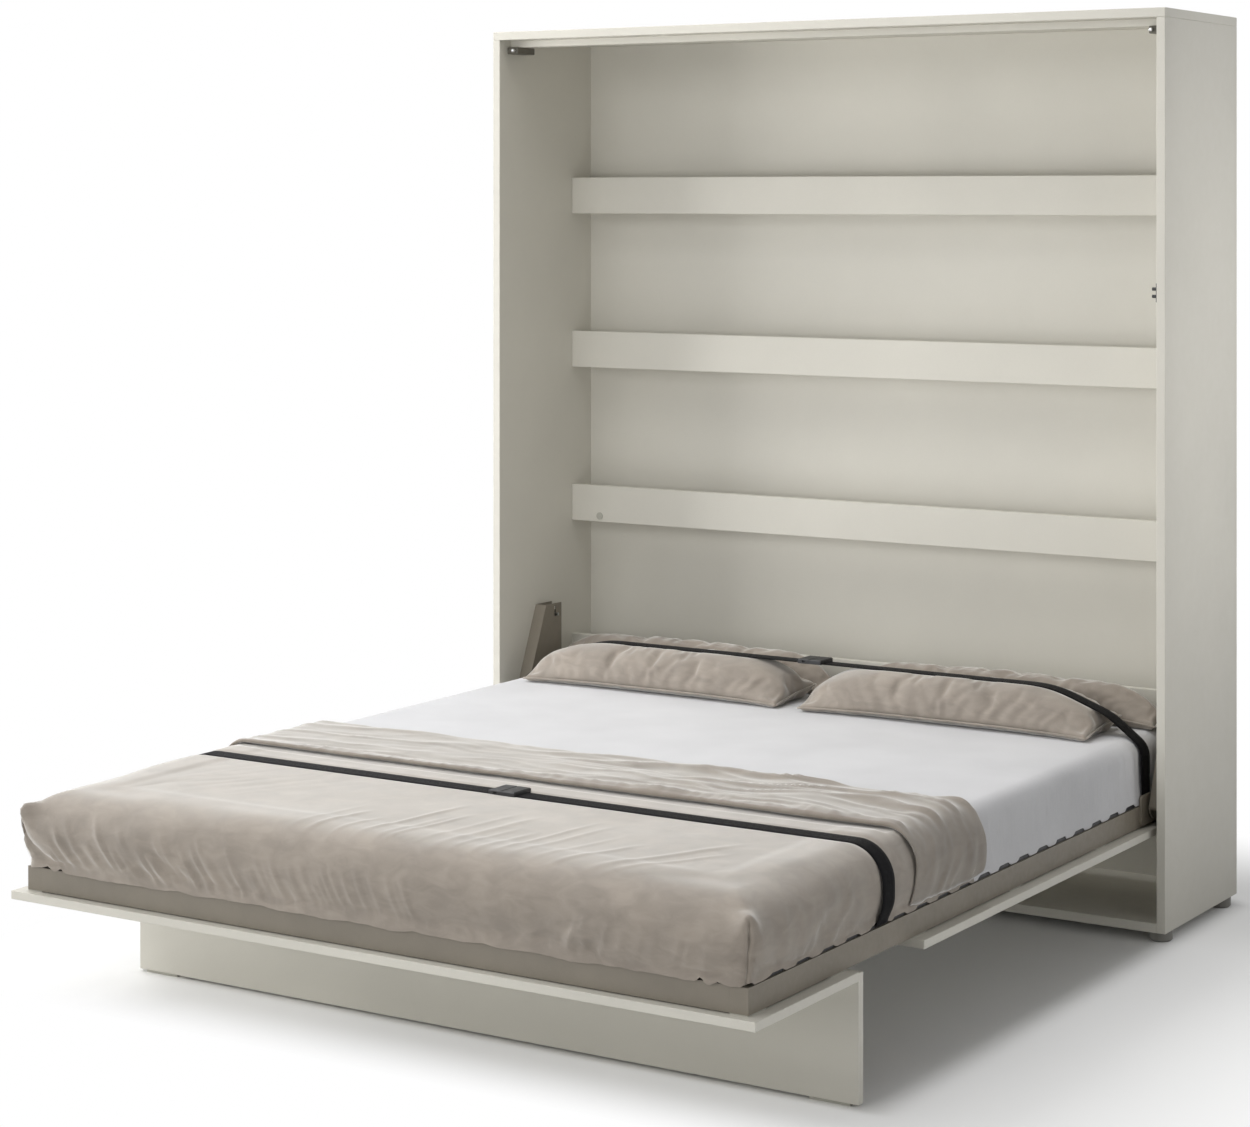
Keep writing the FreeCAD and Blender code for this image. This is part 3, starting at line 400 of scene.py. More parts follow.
def simulate(obj, frames, cap, pinned, pressure, slack, stiffness, bending):
    """Runs cloth on a piece, keeps each point within cap of its start, and keeps the result as plain mesh."""
    before = points_of(obj)
    group = obj.vertex_groups.new(name="held")
    group.add([int(i) for i in pinned], 1.0, "REPLACE")
    modifier = obj.modifiers.new("cloth", "CLOTH")
    cloth = modifier.settings
    cloth.quality = 6
    cloth.mass = 0.2
    cloth.tension_stiffness = stiffness
    cloth.compression_stiffness = stiffness
    cloth.shear_stiffness = stiffness * 0.4
    cloth.bending_stiffness = bending
    cloth.effector_weights.gravity = 0.0
    cloth.shrink_min = -slack
    cloth.shrink_max = -slack
    cloth.use_pressure = True
    cloth.uniform_pressure_force = pressure
    cloth.vertex_group_mass = group.name
    modifier.collision_settings.use_collision = False
    modifier.point_cache.frame_start = 1
    modifier.point_cache.frame_end = frames
    for number in range(1, frames + 1):
        scene.frame_set(number)
    moved_mesh = bpy.data.meshes.new_from_object(obj.evaluated_get(bpy.context.evaluated_depsgraph_get()))
    flat = np.zeros(len(moved_mesh.vertices) * 3)
    moved_mesh.vertices.foreach_get("co", flat)
    obj.modifiers.clear()
    bpy.data.meshes.remove(moved_mesh)
    scene.frame_set(1)
    moved = flat.reshape(-1, 3) - before
    moved[~np.isfinite(moved)] = 0
    size = np.linalg.norm(moved, axis=1, keepdims=True)
    set_points(obj, before + moved * np.minimum(1.0, cap / np.maximum(size, 1e-9)))


# Places, from the CAD

bpy.context.view_layer.update()
mattress_lo, mattress_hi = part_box("mattress")
duvet_lo, duvet_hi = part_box("duvet")
rail_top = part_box("left_side_rail")[1].z
holder_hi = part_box("slat_holders")[1]
mattress_top = mattress_hi.z
foot_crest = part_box("foot_buckle_socket")[0].z


def cad_tree(node):
    return BVHTree.FromObject(nodes[node], bpy.context.evaluated_depsgraph_get())


def outer_section(tree, y, centre, degrees):
    """Outermost (x, z) points of a solid at one place along the bed, seen from a centre at these angles."""
    found = []
    for angle in np.radians(degrees):
        way = Vector((math.cos(angle), 0, math.sin(angle)))
        hit = tree.ray_cast(Vector((centre[0], y, centre[1])) + way, -way)[0]
        if hit and hit.x > centre[0] - MM:
            found.append((hit.x, hit.z))
    return found


class StrapPath:
    """Inner face of a strap's solid, from the rail up and over to its buckle."""

    def __init__(self, node):
        lo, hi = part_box(node)
        self.node = node
        self.y = (lo.y + hi.y) / 2
        self.half = (hi.y - lo.y) / 2
        self.bend_x = hi.x - 110 * MM
        self.bend_z = rail_top + 100 * MM
        tree = cad_tree(node)
        self.angles, self.radii, self.route = [], [], []
        for angle in np.radians(np.arange(-80.0, 90.1, 1.5)):
            way = Vector((math.cos(angle), 0, math.sin(angle)))
            hit = tree.ray_cast(Vector((self.bend_x, self.y, self.bend_z)), way)[0]
            if hit:
                self.angles.append(angle)
                self.radii.append(math.hypot(hit.x - self.bend_x, hit.z - self.bend_z))
                self.route.append((hit.x, hit.z))
        self.xs, self.zs = [], []
        step = 6 * MM
        for x in np.arange(self.bend_x - step, 0, -step):
            hit = tree.ray_cast(Vector((x, self.y, self.bend_z)), Vector((0, 0, 1)))[0]
            if hit:
                self.xs.append(x)
                self.zs.append(hit.z)
                self.route.append((x, hit.z))

    def hold(self, points, clear, slope=0.45):
        """Presses the points of a soft piece in under the strap, less and less beside it."""
        room = np.maximum(np.abs(points[:, 1] - self.y) - self.half, 0) * slope - clear
        x = np.abs(points[:, 0])
        flat = x < self.bend_x
        level = np.interp(x, self.xs[::-1], self.zs[::-1]) + room
        points[:, 2] = np.where(flat, np.minimum(points[:, 2], level), points[:, 2])
        dx, dz = x - self.bend_x, points[:, 2] - self.bend_z
        size = np.maximum(np.hypot(dx, dz), 1e-9)
        angle = np.arctan2(dz, dx)
        allowed = np.interp(angle, self.angles, self.radii) + room
        share = np.where(~flat & (angle > self.angles[0]), np.minimum(1, allowed / size), 1)
        points[:, 0] = np.where(flat, points[:, 0], np.sign(points[:, 0]) * (self.bend_x + dx * share))
        points[:, 2] = np.where(flat, points[:, 2], self.bend_z + dz * share)


head_path = StrapPath("head_strap")
foot_path = StrapPath("foot_strap")
holder_tree = cad_tree("slat_holders")


def holder_at(y):
    """Whether a slat holder stands on the right rail at this place along the bed."""
    apart = 20 * MM
    outside = Vector((holder_hi.x + apart, y, rail_top + 2 * MM))
    return holder_tree.ray_cast(outside, Vector((-1, 0, 0)), 2 * apart)[0] is not None


holder_line = np.arange(mattress_lo.y, mattress_hi.y, 2 * MM)
holder_there = np.array([holder_at(y) for y in holder_line], float)
window = np.full(7, 1 / 7)
holder_there = np.clip(2 * np.convolve(holder_there, window, "same") - 1, 0, 1)


def on_holder(y):
    """1 beside a slat holder, 0 between two of them, smooth in between."""
    return np.interp(y, holder_line, holder_there)


# Mattress with its fitted sheet: the hem hangs outside the slat holders, almost down to the rail

mattress_edge = 45 * MM
sheet_thickness = 1.8 * MM
pleat_depth = 7.5 * MM
base_clearance = 0.2 * MM
hem_clearance = 0.7 * MM
hem_roll = 1.5 * MM
hem_lift = 8 * MM
hem_low = rail_top + 1.2 * MM
hem_inner = mattress_edge + holder_hi.x + hem_clearance - mattress_hi.x
hem_outer = hem_inner + sheet_thickness


def mattress_rows():
    """Reach, height and squareness of each row, from the top's edge down to the hem and up behind it."""
    round_corner = 2.0
    side_top = mattress_top - mattress_edge
    rows = []
    for turn in np.linspace(0, math.pi / 2, 8)[1:]:
        rows.append((mattress_edge * math.sin(turn), side_top + mattress_edge * math.cos(turn), round_corner))
    for height in np.linspace(side_top, mattress_lo.z, 9)[1:]:
        flare = float(ease(-height, -side_top, -mattress_lo.z))
        rows.append((mattress_edge + (hem_outer - mattress_edge) * flare, height, round_corner))
    rows.append((hem_outer, hem_low + hem_roll, round_corner))
    rows.append(((hem_inner + hem_outer) / 2, hem_low, round_corner))
    rows.append((hem_inner, hem_low + hem_roll, round_corner))
    rows.append((hem_inner, mattress_lo.z + base_clearance, round_corner))
    return rows


verts, faces, rim = drape(
    mattress_hi.x - mattress_edge, mattress_lo.y + mattress_edge, mattress_hi.y - mattress_edge, mattress_top,
    mattress_rows(), (22 * MM, 7 * MM), True)
mattress = new_piece("mattress_body", verts, faces + [rim], "mattress_fabric")

# Under the duvet the hem is tucked in
points = points_of(mattress)
x, y, z = points.T
bare = ease(y, duvet_hi.y - 40 * MM, duvet_hi.y - 15 * MM)
hem_reach = mattress_hi.x + (hem_outer - mattress_edge) * bare
x[:] = np.clip(x, -hem_reach, hem_reach)
y[:] = np.maximum(y, mattress_lo.y)
z[:] = np.where(bare < 0.5, np.maximum(z, mattress_lo.z), z)
set_points(mattress, points)

# Pleats down the sides, faint hollows on the top, and a hem that lifts at each slat holder
normals = normals_of(mattress)
side = np.clip(1 - np.abs(normals[:, 2]), 0, 1)
height = (z - mattress_lo.z) / (mattress_top - mattress_lo.z)
low_hem = height < 0.02
pleats = creases(points, (38, 38, 2.5), 1.0, 1.6) + 0.6 * creases(points, (75, 75, 4.0), 2.0, 1.6)
pleated = ease(height, -0.1, 0.3) * (1 - 0.7 * ease(height, 0.6, 1.0))
hollows = (0.9 + 0.8 * soft_noise(points, (3.2, 2.2, 1.0), 3.0)) * MM
crests = ease(np.abs(x), 0.3, 0.8) * creases(points, (2.0, 16.0, 1.0), 4.0) * 0.8 * MM
depth = side * pleated * (1 - 0.75 * pleats) * pleat_depth + (1 - side) * (hollows - crests)
depth[low_hem] = 0
points -= normals * np.maximum(depth, 0)[:, None]
hem = ease(-height, -0.02, 0.03) * (np.abs(x) > mattress_hi.x)
z += hem * on_holder(y) * hem_lift
z[:] = np.where(low_hem, np.minimum(z, mattress_lo.z + base_clearance), z)
head_path.hold(points, 0.5 * MM)
set_points(mattress, points)
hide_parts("mattress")
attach(mattress, "bed")


# Duvet cover: it lies over the foot part of the mattress and hangs down to the rail

duvet_tree = cad_tree("duvet")
shoulder_reach = 92 * MM
shoulder_swell = 2.5 * MM
fold_depth = 295 * MM
seam_depth = 5.0 * MM
ripple_height = 1.8 * MM
foot_hollow = 1.8 * MM
soft_hollow = 1.4 * MM
holder_lift = 6 * MM
rail_overhang = 4.0 * MM
edge_y = duvet_hi.y
fold_y = edge_y - fold_depth
cover_end = edge_y - 8 * MM
duvet_surface = foot_crest - 0.5 * MM
plain_half = max(x for x, z in foot_path.route) - 0.5 * MM
core_x = plain_half - shoulder_reach
core_y = duvet_lo.y + shoulder_reach
section_centre = (core_x, mattress_lo.z + 70 * MM)


def duvet_section(y, degrees):
    """The duvet's outer points at one place along the bed, down to just above its lower face."""
    found = outer_section(duvet_tree, y, section_centre, degrees)
    return [(x, z) for x, z in found if z > duvet_lo.z + 1.5 * MM]


section = duvet_section(foot_path.y, np.arange(86.0, -62.0, -5.0))
tuck_x = section[-1][0] - 1.0 * MM
section.append((tuck_x, duvet_lo.z + 0.4 * MM))
section.append((tuck_x + 0.6 * MM, rail_top + 5.0 * MM))
section.append((tuck_x + 1.2 * MM, rail_top + 1.5 * MM))
rows = []
for x, z in section:
    drop = (duvet_surface - z) / (duvet_surface - duvet_lo.z)
    squareness = 4.0 + 12.0 * float(ease(drop, 0.0, 0.15))
    rows.append((x - core_x - 0.8 * MM, z, squareness))
verts, faces, _ = drape(
    core_x, core_y, cover_end, duvet_surface - 1.5 * MM, rows, (5.5 * MM, 9 * MM), False)
cover = new_piece("duvet_cover", verts, faces, "bedding_fabric")
x, y, z = points_of(cover).T
held = np.nonzero((z < duvet_lo.z + 3 * MM) | (y > edge_y - 20 * MM))[0]
simulate(cover, frames=20, cap=4 * MM, pinned=held, pressure=0.4, slack=0.02, stiffness=14.0, bending=0.3)

# The shoulders of the quilt are soft, without an edge
points = points_of(cover)
x, y, z = points.T
near_edge = np.maximum(np.abs(x) - core_x, core_y - y)
shoulder = ease(near_edge, -75 * MM, -40 * MM)
shoulder *= ease(z, duvet_surface - 85 * MM, duvet_surface - 55 * MM)
shoulder *= 1 - ease(y, fold_y - 40 * MM, fold_y)
set_points(cover, smoothed(cover, points, 0.5 * shoulder, 26))
points = points_of(cover) + normals_of(cover) * (shoulder_swell * shoulder)[:, None]
set_points(cover, points)
x, y, z = points.T
normals = normals_of(cover)
height = np.clip((z - duvet_lo.z) / (duvet_surface - duvet_lo.z), 0, 1)
foot_face = np.clip(-normals[:, 1], 0, 1) ** 1.5
side_face = np.clip(np.abs(normals[:, 0]), 0, 1) ** 1.5
top_face = ease(normals[:, 2], 0.6, 0.95)
seeded = np.random.default_rng(11)


def seeded_line(place, slope, start, jitter, end, wide, high, share=1.0):
    """A line for drawn_lines. The jitter and the ranges of end, width and height are in millimetres."""
    place = place + seeded.uniform(-jitter, jitter) * MM
    end, wide, high = (seeded.uniform(*limits) * MM for limits in (end, wide, high))
    return place, slope, start, end, wide, high * share


# Narrow pulls on the foot face lean towards its upper corners, many on the left and few on the right
pulls = []
below_face = -10 * MM
for place in np.arange(-plain_half + 45 * MM, 0.16, 21 * MM):
    near = 1 - float(ease(place, -0.8, 0.1))
    slope = -0.35 - 0.45 * near
    pulls.append(seeded_line(
        place, slope, below_face, 9, (60, 122), (4.0, 7.0), (2.0, 6.0), 0.4 + 0.6 * near))
for place in np.arange(0.5, plain_half - 40 * MM, 38 * MM):
    pulls.append(seeded_line(place, 0.45, below_face, 9, (45, 95), (4.5, 8.0), (1.2, 3.0)))
lift = foot_face * drawn_lines(x, z - duvet_lo.z, pulls)
lift += foot_face * soft_noise(points, (7, 1, 10), 7.0) * foot_hollow

# Upright ripples along both sides
ripples = creases(points, (0.1, 21, 2.5), 8.0, 1.5) * (1 - 0.6 * ease(height, 0.6, 0.95))
lift += side_face * ripples * ripple_height
lift += side_face * soft_noise(points, (1, 7, 9), 9.0) * soft_hollow

# Long creases over the top, from the foot edge towards the strap
top_creases = []
for place in np.arange(-0.2, 0.56, 48 * MM):
    slope = 0.12 + 0.5 * float(ease(place, 0.3, 0.55))
    top_creases.append(seeded_line(place, slope, 20 * MM, 16, (200, 420), (6, 11), (0.8, 2.2)))
lift += top_face * drawn_lines(x, y - duvet_lo.y, top_creases)
lift += top_face * soft_noise(points, (4, 4, 1), 11.0) * soft_hollow

# Tucked foot corners: a seam down the corner, arcs of cloth gathered beside it, and a raised upper end
off_corner = np.abs((np.abs(x) - core_x) - (core_y - y))
at_corner = (np.abs(x) > core_x + 20 * MM) & (y < core_y - 20 * MM)
seam = at_corner * hump(off_corner, 2.5 * MM) * (1 - ease(height, 0.74, 0.8))
lift -= seam * seam_depth
arc = 0.35 + 0.65 * np.sqrt(np.clip(1.02 - height, 0, 1))
gathered = (1 - ease(height, 0.8, 0.92)) * ease(height, 0.08, 0.4)
for reach, wide, high in ((26, 6, 3.0), (46, 7, 2.6), (70, 8, 1.8)):
    lift += side_face * hump(y - duvet_lo.y - reach * MM * arc, wide * MM) * gathered * high * MM
points += normals * lift[:, None]
ear = (np.abs(x) > core_x) * (y < core_y) * hump(off_corner, 30 * MM)
ear *= 0.95 * ease(height, 0.05, 0.6)
ear_level = duvet_surface - 24 * MM
z += ear * np.maximum(ear_level - z, 0)

# It stays under the fold and the strap, and over the mattress
under_fold = y > fold_y - 25 * MM
z[:] = np.where(under_fold, np.minimum(z, duvet_surface - 1.0 * MM), z)
inside = (np.abs(x) < core_x + 30 * MM) & (y > core_y - 30 * MM)
z[:] = np.where(inside, np.maximum(z, mattress_top + 1.0 * MM), z)
foot_path.hold(points, 0.6 * MM)

# Lower edge: lifted at each slat holder, and wavy over the rail at the foot
lower_edge = ease(-z, -duvet_lo.z - 4 * MM, -rail_top - 2 * MM)
at_foot = y < duvet_lo.y + 30 * MM
z += np.where(at_foot, 0.0, lower_edge * on_holder(y) * holder_lift)
from_side = plain_half - np.abs(x)
notches = hump(from_side - 72 * MM, 9 * MM) + hump(from_side - 112 * MM, 7 * MM)
corner_gap = 1 - ease(from_side, 14 * MM, 30 * MM)
across_only = points * np.array([1, 0, 0])
wave = 3.0 + 5.0 * soft_noise(across_only, (14, 1, 1), 19.0) - 9.0 * notches - 8.0 * corner_gap
z -= np.where(at_foot, lower_edge * wave * MM, 0.0)
over_rail = ease(-z, -duvet_lo.z - 16 * MM, -duvet_lo.z) * (1 - corner_gap)
y -= np.where(at_foot, over_rail * rail_overhang, 0.0)

# With the bed folded up, the hem at the foot comes under the stop batten and keeps clear of it
pins_lo, pins_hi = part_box("pivot_pins")
batten_lo, batten_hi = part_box("top_stop_batten")
pivot = (pins_lo + pins_hi) / 2
foot_limit = pivot.y + pivot.z - batten_lo.z + 1.0 * MM
batten_level = pivot.z + batten_hi.y - pivot.y + 3.0 * MM
y[:] = np.maximum(y, foot_limit - 20 * MM * ease(z, batten_level, batten_level + 24 * MM))
set_points(cover, points)
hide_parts("duvet")
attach(cover, "bed")


# Folded-back edge of the duvet: a flat loop of quilt, swept over the bed from side to side

ridge_height = 10.0 * MM
hanging_height = 3.4 * MM
pucker_height = 3.6 * MM
fold_hollow = 1.2 * MM
front_wave = 7 * MM
front_curl = 4 * MM
side_hang = 26 * MM
fold_section = duvet_section(edge_y - fold_depth / 2, np.arange(-60.0, 88.0, 4.0))
over = [(x, duvet_hi.z) for x in np.linspace(core_x, -core_x, 190)]
path = np.array(fold_section + over + [(-x, z) for x, z in reversed(fold_section)])
tangent = np.gradient(path, axis=0)
tangent /= np.linalg.norm(tangent, axis=1, keepdims=True)
outward = np.stack([tangent[:, 1], -tangent[:, 0]], axis=1)


def fold_loop(roll, upper_steps, lower_steps, round_steps):
    """(y, share) around the loop, with share 0 on its upper face and 1 on its lower one."""
    flat_run = fold_depth - 2 * roll
    half_turn = np.linspace(0, math.pi, round_steps + 1)[1:]
    loop = [(fold_y + roll + flat_run * i / upper_steps, 0.0) for i in range(upper_steps + 1)]
    loop += [(edge_y - roll + roll * math.sin(a), (1 - math.cos(a)) / 2) for a in half_turn]
    loop += [(edge_y - roll - flat_run * i / lower_steps, 1.0) for i in range(1, lower_steps + 1)]
    loop += [(fold_y + roll - roll * math.sin(a), (1 + math.cos(a)) / 2) for a in half_turn[:-1]]
    return loop


loop = fold_loop(roll=5 * MM, upper_steps=40, lower_steps=12, round_steps=7)
side_thickness = 5 * MM
top_thickness = 11 * MM
sunk = 3.0 * MM
verts = []
for (x, z), (out_x, out_z) in zip(path, outward):
    thick = side_thickness + (top_thickness - side_thickness) * max(0.0, out_z) ** 2
    for y, share in loop:
        down = sunk + share * (thick - sunk)
        verts.append((x - out_x * down, y, z - out_z * down))
count = len(loop)
faces = rings_to_faces(len(path), count, True)
faces += [list(range(count)), list(range(len(verts) - count, len(verts)))]
fold = new_piece("duvet_fold", verts, faces, "bedding_fabric")
# The fold gets the 7% darker copy of the velvet, which is painted shade
fold.data.materials[0] = shaded_fold_velvet

# Creases run along the fold, more of them on the right, and hang down its sides
points = points_of(fold)
x, y, z = points.T
normals = normals_of(fold)
upper = np.tile(np.array([1 - share for _, share in loop]), len(path))
on_side = ease(np.abs(normals[:, 0]), 0.3, 0.9)
along = points.copy()
along[:, 1] += 0.05 * x * (x - 0.6) + 0.06 * soft_noise(points, (2.4, 3.0, 2.4), 12.0)
busy = 0.3 + 0.7 * ease(x + 0.25 * soft_noise(points, (1.5, 3, 1), 15.0), -0.25, 0.35)
ridge = creases(along, (1.5, 12, 1.5), 13.0, 1.7) + 0.4 * creases(along, (4.0, 27, 4.0), 14.0, 1.7)
lift = (1 - on_side) * ridge * busy * ridge_height
wavering = points.copy()
wavering[:, 1] += 0.02 * soft_noise(points, (6, 6, 9), 21.0)
hanging = creases(wavering, (0.1, 19, 4.0), 16.0, 1.7) + 0.6 * creases(wavering, (0.1, 41, 7.0), 22.0, 1.7)
slack = 0.3 + 0.7 * ease(soft_noise(points, (3, 6, 6), 25.0), -0.3, 0.5)
lift += on_side * hanging * slack * hanging_height
lift += soft_noise(points, (10, 9, 10), 17.0) * fold_hollow

# Its front edge is puckered, wavy and a little raised, and its rear edge hangs back at the sides
puckers = creases(points, (32, 7, 32), 23.0, 1.5) * (1 - ease(y, fold_y + 10 * MM, fold_y + 55 * MM))
lift += (1 - on_side) * puckers * pucker_height
lift *= 0.45 + 0.55 * ease(y, fold_y, fold_y + 25 * MM)
points += normals * (lift * upper)[:, None]
front_part = 1 - ease(y, fold_y + 10 * MM, fold_y + 90 * MM)
y += front_part * soft_noise(points * np.array([1, 0, 1]), (4, 1, 4), 18.0) * front_wave
z += (1 - on_side) * (1 - ease(y, fold_y, fold_y + 50 * MM)) * front_curl
back_part = ease(y, edge_y - 120 * MM, edge_y)
y += back_part * on_side * (1 - ease(z, duvet_lo.z, duvet_surface)) * side_hang
z[:] = np.maximum(z, duvet_lo.z + 0.4 * MM)
set_points(fold, points)
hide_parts("duvet")
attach(fold, "bed")


# Pillows: two sheets sewn along their edges, filled, and pressed down by the head strap

def cushion_mesh(left_end, right_end, front, rear, droop, crown, belly):
    """An upper and a lower sheet that share a seam. Returns vertices, faces and the seam's vertices."""
    long_steps, deep_steps = 76, 22
    front_bow, rear_bow = 12 * MM, 8 * MM
    middle, half_width = (left_end + right_end) / 2, (right_end - left_end) / 2
    verts, faces, index = [], [], {}

    def point(i, j, sheet):
        """A point of a sheet. i counts from the left end to the right one, j from the front to the rear."""
        along = math.sin((i / long_steps - 0.5) * math.pi) * 0.3 + (2 * i / long_steps - 1) * 0.7
        back = (1 - math.cos(math.pi * j / deep_steps)) / 2 * 0.4 + j / deep_steps * 0.6
        bow = 1 - along * along
        near = np.array(front) + np.array([front_bow * bow, -droop[0] * along ** 4])
        far = np.array(rear) - np.array([rear_bow * bow, droop[1] * along ** 4])
        way = (far - near) / np.linalg.norm(far - near)
        y, z = near + (far - near) * back
        off_middle = abs(2 * back - 1)
        fullness = math.sqrt(max(0.0, 1 - abs(along) ** 7)) * (1 - 0.22 * along ** 4)
        rise = 0.0
        if sheet == "upper":
            rise = crown * (1 - off_middle ** 2.3) ** 0.6 * fullness
        elif sheet == "lower":
            rise = -belly * math.sqrt(1 - off_middle ** 9) * fullness
        waist = 1 - 0.02 * 4 * back * (1 - back) * abs(along)
        return middle + along * half_width * waist, y - way[1] * rise, z + way[0] * rise

    def at(i, j, sheet):
        """Index of a point, which is made when it is first asked for."""
        if i in (0, long_steps) or j in (0, deep_steps):
            sheet = "seam"
        key = (i, j, sheet)
        if key not in index:
            index[key] = len(verts)
            verts.append(point(i, j, sheet))
        return index[key]

    for sheet in ("upper", "lower"):
        for i in range(long_steps):
            for j in range(deep_steps):
                corners = ((i, j), (i + 1, j), (i + 1, j + 1), (i, j + 1))
                faces.append([at(*corner, sheet) for corner in corners])
    ring = [(i, 0) for i in range(long_steps)]
    ring += [(long_steps, j) for j in range(deep_steps)]
    ring += [(i, deep_steps) for i in range(long_steps, 0, -1)]
    ring += [(0, j) for j in range(deep_steps, 0, -1)]
    return verts, faces, [at(i, j, "seam") for i, j in ring]


def pillow(node, front, rear, droop, crown, belly, longer, seed):
    """Cushion over the node's width. front and rear are the seam's (y, z) at the middle of its long sides."""
    wrinkle_height = 1.6 * MM
    piping_radius = 2.4 * MM
    lo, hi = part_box(node)
    verts, faces, seam = cushion_mesh(lo.x - longer[0], hi.x + longer[1], front, rear, droop, crown, belly)
    cushion = new_piece(node + "_cushion", verts, faces, "bedding_fabric")
    simulate(cushion, frames=16, cap=9 * MM, pinned=seam, pressure=2.5, slack=0.07, stiffness=8.0,
             bending=0.12)
    points = points_of(cushion)
    _, y, z = points.T
    pucker = creases(points, (30, 6, 12), seed, 1.5) * hump(z - front[1], 30 * MM)
    lift = (soft_noise(points, (13, 15, 15), seed + 1) + pucker) * wrinkle_height
    points += normals_of(cushion) * lift[:, None]
    head_path.hold(points, 0.8 * MM, 0.5)
    z[:] = np.maximum(z, mattress_top + 0.8 * MM)
    y[:] = np.clip(y, lo.y - 6 * MM, hi.y + 3 * MM)
    set_points(cushion, points)
    smooth = cushion.modifiers.new("smooth", "SUBSURF")
    smooth.levels = 1
    smooth.render_levels = 1
    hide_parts(node)
    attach(cushion, "bed")
    piping(node + "_piping", points[seam], piping_radius)


def piping(name, line, radius):
    """Thin sewn rib along a pillow's seam."""
    count, around_rib = len(line), 6
    verts = []
    for i in range(count):
        way = line[(i + 1) % count] - line[i - 1]
        side = np.cross(way, (0, 0.3, 1))
        side /= np.linalg.norm(side)
        up = np.cross(side, way)
        up /= np.linalg.norm(up)
        for k in range(around_rib):
            angle = 2 * math.pi * k / around_rib
            point = line[i] + (side * math.cos(angle) + up * math.sin(angle)) * radius
            verts.append((point[0], point[1], max(point[2], mattress_top + 0.6 * MM)))
    faces = rings_to_faces(count, around_rib, True)
    last = (count - 1) * around_rib
    for k in range(around_rib):
        j = (k + 1) % around_rib
        faces.append([last + k, last + j, j, k])
    rib = new_piece(name, verts, faces, "bedding_fabric")
    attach(rib, "bed")


# The front pillows reach a little past their solids to the left and to the right
front_longer = {"left": (24 * MM, 2 * MM), "right": (26 * MM, 6 * MM)}
for number, side_name in enumerate(("left", "right")):
    node = side_name + "_front_pillow"
    lo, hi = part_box(node)
    pillow(node, front=(lo.y + 2 * MM, mattress_top + 14 * MM), rear=(hi.y - 4 * MM, mattress_top + 58 * MM),
           droop=(5 * MM, 26 * MM), crown=66 * MM, belly=62 * MM, longer=front_longer[side_name],
           seed=20.0 + number)
    node = side_name + "_back_pillow"
    lo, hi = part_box(node)
    pillow(node, front=(lo.y, mattress_top + 24 * MM), rear=(hi.y, mattress_top + 30 * MM),
           droop=(14 * MM, 14 * MM), crown=72 * MM, belly=40 * MM, longer=(0, 0), seed=30.0 + number)


# Straps: flat webbing along the inner face of each strap's solid

def strap(path):
    """Webbing with rounded edges, from both rails to the buckle."""
    thick = 1.7 * MM
    gap = 0.15 * MM
    half_width = path.half - 0.4 * MM
    outline = [(-1.0, 0.5), (-0.96, 0.9), (-0.5, 1.0), (0.5, 1.0), (0.96, 0.9), (1.0, 0.5),
               (0.96, 0.1), (0.5, 0.0), (-0.5, 0.0), (-0.96, 0.1)]
    route = np.array(path.route)
    for _ in range(3):
        route[1:-1] = 0.25 * route[:-2] + 0.5 * route[1:-1] + 0.25 * route[2:]
    way = np.gradient(route, axis=0)
    way /= np.linalg.norm(way, axis=1, keepdims=True)
    verts, faces = [], []
    for sign in (1, -1):
        start = len(verts)
        for (x, z), (way_x, way_z) in zip(route, way):
            for across, share in outline:
                out = gap + share * thick
                verts.append((sign * (x + way_z * out), path.y + across * half_width, z - way_x * out))
        ring = len(outline)
        quads = rings_to_faces(len(route), ring, True)
        quads += [list(range(ring)), list(range((len(route) - 1) * ring, len(route) * ring))]
        faces += [[start + i for i in quad] for quad in quads]
    piece = new_piece(path.node + "_webbing", verts, faces, "webbing")
    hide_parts(path.node)
    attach(piece, "bed")


strap(head_path)
strap(foot_path)


# Studio: a floor that shows the shadow near the bed and is white further off, a white world and soft lamps

def shown_rays(tree):
    """1 for the rays that show the background: the camera's, and those by way of gloss or glass."""
    rays = tree.nodes.new("ShaderNodeLightPath")
    shown = rays.outputs["Is Camera Ray"]
    for kind in ("Is Glossy Ray", "Is Transmission Ray"):
        most = tree.nodes.new("ShaderNodeMath")
        most.operation = "MAXIMUM"
        tree.links.new(shown, most.inputs[0])
        tree.links.new(rays.outputs[kind], most.inputs[1])
        shown = most.outputs[0]
    return shown


